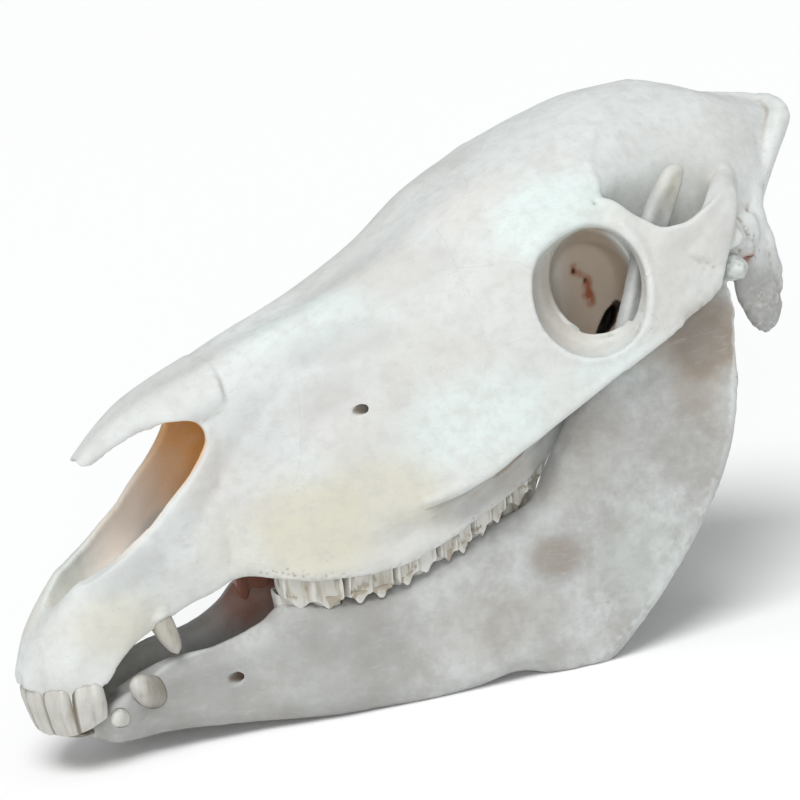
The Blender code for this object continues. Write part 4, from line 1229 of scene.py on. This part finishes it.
class Finish:
    """A material's nodes, made in the order that they are used."""

    def __init__(self, name):
        self.material = bpy.data.materials.new(name)
        self.material.use_nodes = True
        self.tree = self.material.node_tree
        self.shader = self.tree.nodes["Principled BSDF"]
        self.place = self.node("ShaderNodeTexCoord").outputs["Object"]

    def node(self, kind, sockets=None, **settings):
        made = self.tree.nodes.new(kind)
        for name, value in settings.items():
            setattr(made, name, value)
        for name, value in (sockets or {}).items():
            self.put(made.inputs[name], value)
        return made

    def put(self, socket, value):
        if isinstance(value, bpy.types.NodeSocket):
            self.tree.links.new(value, socket)
        else:
            socket.default_value = value

    def noise(self, scale, detail=3.0, roughness=0.55, stretch=None, lift=0.0):
        place = self.place
        if stretch or lift:
            place = self.node("ShaderNodeMapping", {"Vector": place, "Scale": stretch or (1, 1, 1),
                                                    "Location": (lift, lift, lift)}).outputs[0]
        made = self.node("ShaderNodeTexNoise", {"Vector": place, "Scale": scale, "Detail": detail,
                                                "Roughness": roughness})
        return made.outputs["Fac"]

    def cells(self, scale):
        made = self.node("ShaderNodeTexVoronoi", {"Vector": self.place, "Scale": scale})
        return made.outputs["Distance"]

    def attribute(self, name):
        return self.node("ShaderNodeAttribute", attribute_name=name).outputs["Fac"]

    def between(self, value, low, high, to_low=0.0, to_high=1.0):
        made = self.node("ShaderNodeMapRange", {"Value": value, "From Min": low, "From Max": high,
                                                "To Min": to_low, "To Max": to_high},
                         interpolation_type="SMOOTHSTEP")
        return made.outputs["Result"]

    def maths(self, operation, first, second=0.0):
        made = self.node("ShaderNodeMath", operation=operation)
        self.put(made.inputs[0], first)
        self.put(made.inputs[1], second)
        return made.outputs[0]

    def vectors(self, operation, first, second=(0, 0, 0)):
        made = self.node("ShaderNodeVectorMath", operation=operation)
        self.put(made.inputs[0], first)
        self.put(made.inputs[1], second)
        return made

    def mixed(self, share, first, second):
        made = self.node("ShaderNodeMix", data_type="RGBA")
        self.put(made.inputs["Factor"], share)
        self.put(made.inputs[6], first)
        self.put(made.inputs[7], second)
        return made.outputs[2]

    def spot(self, centre, radii, share, ragged):
        """A soft patch round a place in the skull's millimetres, ragged at its edge."""
        shifted = self.vectors("SUBTRACT", self.place, resting([centre])[0]).outputs[0]
        scaled = self.vectors("DIVIDE", shifted, np.multiply(radii, MM)).outputs[0]
        away = self.vectors("LENGTH", scaled).outputs["Value"]
        away = self.maths("ADD", away, self.maths("MULTIPLY", ragged, 0.9))
        return self.between(away, 0.55, 1.45, share, 0.0)

    def patchy(self, scale, low, high, start=0.3):
        """A share that varies from place to place between low and high."""
        return self.between(self.noise(scale, 4.0), start, 0.6, low, high)

    def marked(self, base, mark, tint, share=1.0):
        """Tints the base where the mark is."""
        return self.mixed(self.maths("MULTIPLY", self.attribute(mark), share), base, rgba(tint))

    def bumped(self, height, strength, distance, normal=None):
        made = self.node("ShaderNodeBump", {"Height": height, "Strength": strength,
                                            "Distance": distance})
        if normal is not None:
            self.put(made.inputs["Normal"], normal)
        return made.outputs["Normal"]


def resting(places):
    """Places in the skull's millimetres as metres in the frame that the skull rests in."""
    turn = math.radians(PITCH_DEGREES)
    x, y, z = np.transpose(places).astype(float)
    x = x - MIDDLE_X
    x, z = x * math.cos(turn) + z * math.sin(turn), z * math.cos(turn) - x * math.sin(turn)
    return np.column_stack([x, y, z + FLOOR_Z]) * MM


def rgba(colour):
    return (*colour, 1.0)


def darker(colour, share):
    return [share * part for part in colour]


# Soft patches of colour: (place, radii, share), in the skull's millimetres
CREAM_SPOTS = (
    ((150, -44, 96), (38, 20, 26), 0.75), ((190, -54, 104), (30, 20, 20), 0.55),
    ((112, -33, 92), (20, 16, 20), 0.35), ((44, -27, 62), (24, 16, 16), 0.45),
    ((150, 44, 96), (40, 20, 26), 0.5), ((30, 22, 62), (26, 22, 24), 0.5),
    ((300, -74, 230), (22, 16, 14), 0.25), ((360, -68, 240), (14, 8, 20), 0.5),
    ((381, -86, 194), (12, 16, 12), 0.2),
)
ROSE_SPOTS = (
    ((210, -34, 214), (26, 16, 12), 0.30), ((254, -42, 243), (24, 18, 14), 0.30),
    ((232, -66, 160), (20, 14, 18), 0.22), ((164, -43, 150), (22, 14, 20), 0.22),
    ((330, -92, 200), (14, 10, 18), 0.15), ((357, -93, 214), (16, 10, 14), 0.15),
    ((120, -35, 120), (20, 14, 20), 0.18), ((98, -32, 130), (16, 14, 20), 0.40),
    ((39, -27, 29), (9, 8, 9), 0.5),
)
# Brown stains on the jaw, and painted shade on the ramus under the arch and the facial crest
TAN_AND_SHADE_SPOTS = (
    ((267, -74, 58), (13, 14, 11), 0.80), ((285, -76, 98), (20, 16, 12), 0.22),
    ((358, -84, 160), (22, 16, 22), 1.0), ((352, -84, 142), (14, 14, 26), 0.45),
    ((330, -80, 158), (18, 12, 8), 0.55), ((298, -77, 121), (16, 12, 22), 0.20),
    ((230, -64, 30), (40, 20, 16), 0.18), ((262, -68, 98), (20, 14, 12), 0.35),
)
# Patches of painted shade: the jaw's front and body, under the arch, round the rear processes and
# elsewhere
SHADE_SPOTS = (
    ((80, -27, 13), (40, 16, 26), 0.60), ((156, -46, 30), (50, 20, 26), 0.45),
    ((150, -46, 4), (50, 20, 12), 0.45), ((418, -58, 160), (18, 18, 30), 0.75),
    ((423, -56, 182), (12, 14, 14), 0.45), ((404, -58, 196), (12, 12, 12), 0.30),
    ((48, -28, 88), (22, 12, 12), 0.25), ((175, -36, 184), (40, 14, 12), 0.22),
    ((267, -74, 58), (16, 14, 14), 0.40), ((196, -30, 212), (70, 26, 16), 0.16),
    ((358, -84, 160), (16, 14, 16), 0.45), ((160, -42, 163), (26, 10, 14), 0.16),
    ((120, -33, 150), (30, 10, 20), 0.14), ((273, -66, 103), (7, 8, 9), 0.60),
)
# Pale patches, and painted light on the far inner wall of the nose
PALE_AND_LIT_SPOTS = (
    ((318, -84, 50), (26, 14, 30), 0.25), ((232, -70, 138), (44, 22, 26), 0.6),
    ((286, -66, 236), (34, 24, 22), 0.7), ((306, -92, 152), (30, 14, 16), 0.5),
    ((150, -26, 196), (50, 20, 14), 0.4), ((381, -86, 194), (14, 16, 14), 0.35),
    ((32, 4, 88), (24, 18, 22), 0.35),
)


def bone_finish(name, colours, in_shade):
    """Dry bleached bone: mottled, porous and stained in places, with painted shade in its hollows
    and painted highlights.
    """
    bone = Finish(name)
    ragged = bone.maths("SUBTRACT", bone.noise(34.0, 4.0, 0.6), 0.5)
    broad = bone.between(bone.noise(9.0, 3.0), 0.35, 0.68)
    base = bone.mixed(broad, rgba(colours.bone), rgba(colours.bone_pale))
    if in_shade:
        # The jaw's own greyer bone, darkened further as painted shade under the cheek's overhang
        base = bone.mixed(0.75, base, rgba(colours.bone_grey))
        clouds = bone.between(bone.noise(22.0, 5.0, 0.65, lift=3.0), 0.38, 0.64, 0.0, 0.8)
        base = bone.mixed(clouds, base, rgba(colours.jaw_dull))
    else:
        clouds = bone.between(bone.noise(30.0, 5.0, 0.65, lift=3.0), 0.46, 0.72, 0.0, 0.42)
        base = bone.mixed(clouds, base, rgba(colours.bone_dull))
    for spots, tint in ((CREAM_SPOTS, colours.cream), (ROSE_SPOTS, colours.rose),
                        (TAN_AND_SHADE_SPOTS, colours.tan), (SHADE_SPOTS, colours.shade_grey),
                        (PALE_AND_LIT_SPOTS, colours.clean)):
        shares = [bone.spot(*spot, ragged) for spot in spots]
        total = shares[0]
        for share in shares[1:]:
            total = bone.maths("MAXIMUM", total, share)
        base = bone.mixed(total, base, rgba(tint))
    mottle = bone.between(bone.noise(140.0, 5.0, 0.62), 0.40, 0.72, 0.0, 0.42)
    base = bone.mixed(mottle, base, rgba(colours.jaw_dull if in_shade else colours.bone_dull))
    # Painted shade under the facial crest
    base = bone.marked(base, "shade", colours.shade_grey, bone.patchy(90.0, 0.46, 0.62))
    fibres = bone.noise(420.0, 3.0, 0.6, stretch=(0.16, 1.0, 1.0))
    base = bone.mixed(bone.between(fibres, 0.52, 0.75, 0.0, 0.22), base, rgba(colours.bone_dull))
    # Painted shade where the skin lies deep, and a painted highlight where it stands out
    edge = bone.attribute("edge")
    base = bone.mixed(bone.between(edge, -0.05, -0.9, 0.0, 0.62), base, rgba(colours.hollow))
    base = bone.mixed(bone.between(edge, 0.15, 0.9, 0.0, 0.35), base, rgba(colours.bone_pale))
    # Painted shade in holes, sockets and the mouth, painted light in the nose, and real stains
    for mark, tint, share in (("dirt", colours.hollow, bone.patchy(48.0, 0.55, 1.0)),
                              # Beige with painted shade in the eye sockets
                              ("beige", colours.beige, 1.0),
                              # Pale pink, as painted light in the deep nose
                              ("nose", colours.nose, 0.75),
                              # A real orange stain, painted bright as painted light in the deep
                              # nose
                              ("stain", colours.stain, bone.patchy(60.0, 0.75, 1.0)),
                              # Reddish brown with painted shade inside the mouth
                              ("mouth", colours.mouth, bone.patchy(50.0, 0.6, 1.0)),
                              ("rust", colours.rust, bone.patchy(160.0, 0.5, 1.0, 0.35)),
                              # Near black, as painted shade in the orbit's slit and pits
                              ("black", darker(colours.hollow, DEEP_SHADE_SHARE), 1.0)):
        base = bone.marked(base, mark, tint, share)
    # Pores tinted with the hollows' colour, as painted shade in the small pits
    pores = bone.between(bone.cells(620.0), 0.06, 0.18, 1.0, 0.0)
    crowded = bone.between(bone.noise(55.0, 3.0, lift=5.0), 0.58, 0.70)
    sparse = bone.maths("MULTIPLY", pores, crowded)
    base = bone.mixed(bone.maths("MULTIPLY", sparse, 0.35), base, rgba(colours.hollow))
    bone.put(bone.shader.inputs["Base Color"], base)
    gloss = bone.between(bone.noise(70.0, 3.0, lift=9.0), 0.3, 0.7, 0.50, 0.66)
    bone.put(bone.shader.inputs["Roughness"], gloss)
    bone.shader.inputs["Specular IOR Level"].default_value = 0.35
    grain = bone.bumped(bone.noise(900.0, 3.0, 0.65), 0.35, 0.0003)
    grain = bone.bumped(bone.noise(300.0, 4.0, 0.6, stretch=(0.3, 1.0, 1.0)), 0.40, 0.0006, grain)
    pits = bone.maths("MULTIPLY", sparse, -1.0)
    bone.put(bone.shader.inputs["Normal"], bone.bumped(pits, 0.6, 0.0006, grain))
    return bone.material


def tooth_finish(name, colours):
    """Enamel with a skin of cement: ivory, streaked along the crown, brown in its grooves."""
    tooth = Finish(name)
    broad = tooth.between(tooth.noise(40.0, 3.0), 0.35, 0.7)
    base = tooth.mixed(broad, rgba(colours.tooth), rgba(colours.tooth_pale))
    streaks = tooth.noise(260.0, 4.0, 0.6, stretch=(1.0, 1.0, 0.14))
    streaks = tooth.between(streaks, 0.46, 0.70, 0.0, 0.55)
    base = tooth.mixed(streaks, base, rgba(colours.tooth_stain))
    edge = tooth.attribute("edge")
    base = tooth.mixed(tooth.between(edge, -0.05, -0.8, 0.0, 0.75), base, rgba(colours.tooth_stain))
    base = tooth.mixed(tooth.between(edge, 0.2, 0.9, 0.0, 0.5), base, rgba(colours.tooth_pale))
    # Grime and painted shade on the teeth
    base = tooth.marked(base, "grime", darker(colours.tooth_stain, GRIME_AND_SHADE_SHARE))
    # Reddish brown with painted shade on the far front cheek teeth
    base = tooth.marked(base, "mouth", colours.mouth)
    tooth.put(tooth.shader.inputs["Base Color"], base)
    gloss = tooth.between(tooth.noise(120.0, 3.0), 0.3, 0.7, 0.30, 0.48)
    tooth.put(tooth.shader.inputs["Roughness"], gloss)
    tooth.shader.inputs["Specular IOR Level"].default_value = 0.45
    grain = tooth.bumped(tooth.noise(500.0, 3.0, 0.6, stretch=(1.0, 1.0, 0.3)), 0.35, 0.0004)
    tooth.put(tooth.shader.inputs["Normal"], grain)
    return tooth.material


def floor_finish(colour):
    floor = Finish("studio_floor")
    tone = floor.between(floor.noise(1.2, 2.0), 0.3, 0.7, 0.985, 1.0)
    shade = floor.mixed(tone, rgba(darker(colour, 0.97)), rgba(colour))
    floor.put(floor.shader.inputs["Base Color"], shade)
    floor.shader.inputs["Roughness"].default_value = 0.9
    floor.shader.inputs["Specular IOR Level"].default_value = 0.1
    return floor.material


# Placing

def placed(thing, material, nodes=()):
    """Pitches a finished piece as the skull rests and keeps it in the solids' box."""
    skin = Skin(thing)
    skin.points = np.clip(resting(skin.points), CAD_LOW, CAD_HIGH) / MM
    skin.write()
    mesh = thing.data
    mesh.materials.clear()
    mesh.materials.append(material)
    mesh.shade_smooth()
    mesh.set_sharp_from_angle(angle=math.radians(SHARP_DEGREES))
    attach(thing, "root")
    if nodes:
        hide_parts(*nodes)


def placed_teeth(teeth, name, material):
    """Each tooth as a piece of its own, numbered from the front, on both sides."""
    for side, shapes in zip(SIDES, (teeth, [other_side(tooth) for tooth in teeth])):
        for number, shape in enumerate(shapes, 1):
            tooth = as_object(f"{name}_{side_name(side)}_{number}", shape)
            skin = Skin(tooth)
            broken = "cheek" in name
            rough = (0.5 if broken else 0.12) * noise(skin.points, (5.0, 5.0, 9.0), 40 + number)
            skin.raised(rough + 0.08 * noise(skin.points, 2.0, 50 + number))
            if broken:
                chips = noise(skin.points, (7.0, 7.0, 1.6), 70 + number)
                skin.raised(-0.5 * soft(chips, 0.25, 0.5))
            skin.write()
            skin.refresh()
            skin.mark("edge", np.clip(hollowness(tooth, 4) / 0.18, -1, 1))
            left = skin.left
            # Reddish brown with painted shade on the inner faces of the far front cheek teeth
            front = broken * (np.abs(left[:, 0] - 140) < 25)
            inner = soft(-side * skin.normals[:, 1], 0.0, 0.5) + soft(-skin.normals[:, 0], 0.5, 0.9)
            skin.mark("mouth", 0.95 * np.minimum(inner, 1) * front * (side > 0))
            turn = np.degrees(np.arctan2(-left[:, 1], ARCH_CENTRE[0] - left[:, 0]))
            seam = np.min([np.abs(turn - angle) for angle in SEAM_ANGLES], axis=0) * MM_PER_DEGREE
            # Grime with painted shade: the seams between the incisors, and the lower incisors under
            # the upper ones
            grime = {"upper_incisor": 0.14 + 0.8 * fading(seam, 0.5, 2.0), "upper_canine": 0.30,
                     "lower_incisor": 0.85 if number < 3 else 0.0,
                     "lower_canine": 0.15 + 0.5 * soft(left[:, 0], 50, 58)}.get(name, 0.0)
            skin.mark("grime", grime * np.ones(len(left)))
            placed(tooth, material)


def colour(name, description, default):
    return FloatVectorProperty(name=name, description=description, subtype="COLOR", size=3,
                               default=default)


def direction(name, description, default):
    return FloatVectorProperty(name=name, description=description, subtype="DIRECTION", size=3,
                               default=default)


class SkullShape(bpy.types.PropertyGroup):
    head_skin: FloatProperty(
        name="Cranium skin", description="Edge length of the cranium's surface mesh",
        default=0.00100, min=0.0005, unit="LENGTH", precision=5)
    jaw_skin: FloatProperty(
        name="Jaw skin", description="Edge length of the lower jaw's surface mesh",
        default=0.00120, min=0.0005, unit="LENGTH", precision=5)
    suture_gap: FloatProperty(
        name="Suture gap", description="Width of the gap between two bones, in millimetres",
        default=0.04, min=0.02, max=1.0)
    suture_wave: FloatProperty(
        name="Suture wave", description="How far a suture waves from its line, in millimetres",
        default=0.6, min=0.0, max=3.0)
    socket_gap: FloatProperty(
        name="Socket gap", description="Width of the gap round a tooth, in millimetres",
        default=0.22, min=0.02, max=1.0)
    seed: IntProperty(
        name="Seed", description="Start of the small differences between the teeth", default=3)


class SkullColours(bpy.types.PropertyGroup):
    bone: colour("Bone", "The bleached bone of the cranium", (0.60, 0.605, 0.58))
    # Pale bone, also used as the painted highlight where the skin stands out
    bone_pale: colour("Pale bone", "Bone where it is cleanest", (0.665, 0.70, 0.69))
    # Cleanest bone, also painted light on the nose's far inner wall
    clean: colour("Cleanest bone", "Bone bleached to a faint blue-green", (0.66, 0.76, 0.74))
    bone_dull: colour("Dull bone", "Bone where it is dusty", (0.50, 0.495, 0.47))
    # Grey jaw bone, darkened as painted shade under the cheek
    bone_grey: colour("Jaw bone", "The greyer bone of the lower jaw", (0.43, 0.445, 0.44))
    jaw_dull: colour("Dull jaw bone", "Brownish grey clouds on the lower jaw", (0.31, 0.30, 0.28))
    cream: colour("Cream", "Yellowed bone over the front cheek teeth and the muzzle",
                  (0.60, 0.57, 0.44))
    rose: colour("Rose", "Faintly pink bone", (0.62, 0.56, 0.52))
    # Brown stains, and painted shade under the arch
    tan: colour("Tan", "Brown stains on the jaw and under the arch", (0.27, 0.215, 0.16))
    # A real orange stain whose brightness is painted light for the deep nose
    stain: colour("Nose stain", "The stained bone deep in the nose", (0.80, 0.42, 0.14))
    # Reddish brown, also the painted shade inside the mouth
    mouth: colour("Mouth", "Reddish brown bone and tartar inside the mouth", (0.34, 0.13, 0.08))
    # Beige bone, darkened as painted shade deeper in the eye sockets
    beige: colour("Beige", "Bone inside the sockets of the eyes and the nose", (0.46, 0.37, 0.28))
    # Pinkish bone made pale as painted light in the deep nose
    nose: colour("Nose", "Pale pinkish bone in the front of the nose", (0.84, 0.74, 0.64))
    rust: colour("Rust", "Reddish stains round the holes of nerves", (0.30, 0.09, 0.035))
    # Grey used as painted shade
    shade_grey: colour("Dusk", "Dark grey dust on the jaw's front and the rear processes",
                 (0.25, 0.25, 0.24))
    # Painted shade in hollows, creases, pores, holes and slits
    hollow: colour("Hollows", "Dirt in pits, sutures and holes", (0.26, 0.19, 0.13))
    tooth: colour("Tooth", "Cement and enamel", (0.50, 0.49, 0.44))
    tooth_pale: colour("Pale tooth", "Enamel on the ribs of the crowns", (0.62, 0.62, 0.59))
    tooth_stain: colour("Tooth stain", "Tartar in the grooves", (0.30, 0.25, 0.18))
    floor: colour("Floor", "The studio's floor", (0.97, 0.97, 0.97))


class StageSettings(bpy.types.PropertyGroup):
    azimuth: FloatProperty(name="Azimuth",
                           description="Degrees that the camera stands towards the nose",
                           default=24.43)
    elevation: FloatProperty(
        name="Elevation", description="Degrees that the camera looks down", default=13.17)
    roll: FloatProperty(
        name="Roll", description="Degrees that the camera is turned about its view", default=-8.44)
    distance: FloatProperty(name="Distance", description="From the camera to what it looks at",
                            default=1.43, unit="LENGTH")
    target: FloatVectorProperty(
        name="Target", description="What the camera looks at", size=3, subtype="TRANSLATION",
        default=(-0.0114, 0.0, 0.1431))
    lens: FloatProperty(
        name="Lens", description="Focal length on a sensor 36 mm wide", default=122.0)
    floor_size: FloatProperty(
        name="Floor size", description="Side of the floor", default=16.0, unit="LENGTH")
    key: FloatProperty(
        name="Key light", description="Strength of the large soft light", default=2.1)
    softness: FloatProperty(
        name="Softness", description="How wide the key light is, in degrees", default=35.0)
    key_from: direction("Key from", "Where the key light comes from", (-0.30, -0.38, 1.0))
    fill: FloatProperty(
        name="Fill light", description="Strength of the soft light beside the camera", default=0.82)
    fill_from: direction("Fill from", "Where the fill light comes from", (-0.45, -0.86, 0.22))
    sky: FloatProperty(
        name="Sky", description="Strength of the even light from all round", default=0.38)


class SKULL_OT_cranium(bpy.types.Operator):
    """Models the bones of the cranium, parted along their sutures"""
    bl_idname = "zebra_skull.cranium"
    bl_label = "Cranium bones"

    def execute(self, context):
        shape, colours = context.scene.skull_shape, context.scene.skull_colours
        head = cranium(shape.head_skin)
        carved_head(head)
        marked_head(head)
        sockets_cut(head, upper_teeth(shape.seed), shape.socket_gap)
        material = bone_finish("cranium_bone", colours, in_shade=False)
        for bone in in_sutures(head, shape.suture_gap, shape.suture_wave):
            filled(bone, MARKS)
            placed(bone, material, [bone.name.removesuffix("_bone")])
        return {"FINISHED"}


class SKULL_OT_mandible(bpy.types.Operator):
    """Models the lower jaw's bone"""
    bl_idname = "zebra_skull.mandible"
    bl_label = "Lower jaw"

    def execute(self, context):
        shape, colours = context.scene.skull_shape, context.scene.skull_colours
        bone = jaw(shape.jaw_skin)
        carved_jaw(bone)
        marked_jaw(bone)
        sockets_cut(bone, lower_teeth(), shape.socket_gap)
        bone.name = "mandible_bone"
        largest_only(bone)
        filled(bone, MARKS)
        placed(bone, bone_finish("jaw_bone", colours, in_shade=True), ["mandible"])
        return {"FINISHED"}


class SKULL_OT_teeth(bpy.types.Operator):
    """Models the incisors, the canines and the cheek teeth of both jaws"""
    bl_idname = "zebra_skull.teeth"
    bl_label = "Teeth"

    def execute(self, context):
        shape, colours = context.scene.skull_shape, context.scene.skull_colours
        material = tooth_finish("tooth", colours)
        for name, teeth in {**upper_teeth(shape.seed), **lower_teeth()}.items():
            placed_teeth(teeth, name, material)
        return {"FINISHED"}


class SKULL_OT_stage(bpy.types.Operator):
    """Lays a plain pale floor and sets the lights and the camera"""
    bl_idname = "zebra_skull.stage"
    bl_label = "Studio"

    def execute(self, context):
        scene, stage = context.scene, context.scene.skull_stage
        shape = bmesh.new()
        bmesh.ops.create_grid(shape, x_segments=1, y_segments=1, size=0.5 * stage.floor_size / MM)
        floor = as_object("floor", shape)
        floor.data.materials.append(floor_finish(scene.skull_colours.floor))
        for name, strength, source in (("key", stage.key, stage.key_from),
                                       ("fill", stage.fill, stage.fill_from)):
            lamp = bpy.data.lights.new(name, "SUN")
            lamp.energy = strength
            lamp.angle = math.radians(stage.softness)
            thing = bpy.data.objects.new(name, lamp)
            thing.rotation_mode = "QUATERNION"
            thing.rotation_quaternion = (-Vector(source)).to_track_quat("-Z", "Y")
            scene.collection.objects.link(thing)
        world = scene.world or bpy.data.worlds.new("World")
        scene.world = world
        world.use_nodes = True
        sky = world.node_tree.nodes["Background"]
        sky.inputs["Color"].default_value = (0.97, 0.985, 1.0, 1.0)
        sky.inputs["Strength"].default_value = stage.sky
        scene.view_settings.view_transform = "Standard"
        scene.camera = self.camera(scene, stage)
        return {"FINISHED"}

    @staticmethod
    def camera(scene, stage):
        lens = bpy.data.cameras.new("camera")
        lens.lens = stage.lens
        lens.sensor_width = 36.0
        thing = bpy.data.objects.new("camera", lens)
        azimuth, elevation = math.radians(stage.azimuth), math.radians(stage.elevation)
        back = Vector((-math.sin(azimuth) * math.cos(elevation),
                       -math.cos(azimuth) * math.cos(elevation), math.sin(elevation)))
        thing.location = Vector(stage.target) + back * stage.distance
        level = (-back).to_track_quat("-Z", "Y")
        roll = Matrix.Rotation(math.radians(stage.roll), 3, "Z").to_quaternion()
        thing.rotation_mode = "QUATERNION"
        thing.rotation_quaternion = level @ roll
        scene.collection.objects.link(thing)
        return thing


class SKULL_PT_panel(bpy.types.Panel):
    """Lists the skull's steps"""
    bl_label = "Zebra skull"
    bl_idname = "SKULL_PT_panel"
    bl_space_type = "VIEW_3D"
    bl_region_type = "UI"
    bl_category = "Skull"

    def draw(self, context):
        for step in STEPS:
            self.layout.operator(step.bl_idname)


STEPS = (SKULL_OT_cranium, SKULL_OT_mandible, SKULL_OT_teeth, SKULL_OT_stage)
GROUPS = (SkullShape, SkullColours, StageSettings)


def register():
    for kind in (*GROUPS, *STEPS, SKULL_PT_panel):
        bpy.utils.register_class(kind)
    bpy.types.Scene.skull_shape = PointerProperty(type=SkullShape)
    bpy.types.Scene.skull_colours = PointerProperty(type=SkullColours)
    bpy.types.Scene.skull_stage = PointerProperty(type=StageSettings)


def unregister():
    del bpy.types.Scene.skull_shape
    del bpy.types.Scene.skull_colours
    del bpy.types.Scene.skull_stage
    for kind in reversed((*GROUPS, *STEPS, SKULL_PT_panel)):
        bpy.utils.unregister_class(kind)


def main():
    for name in ("Cube", "Light", "Camera"):
        if name in bpy.data.objects:
            bpy.data.objects.remove(bpy.data.objects[name], do_unlink=True)
    register()
    bpy.ops.zebra_skull.cranium()
    bpy.ops.zebra_skull.mandible()
    bpy.ops.zebra_skull.teeth()
    bpy.ops.zebra_skull.stage()


if __name__ == "__main__":
    main()
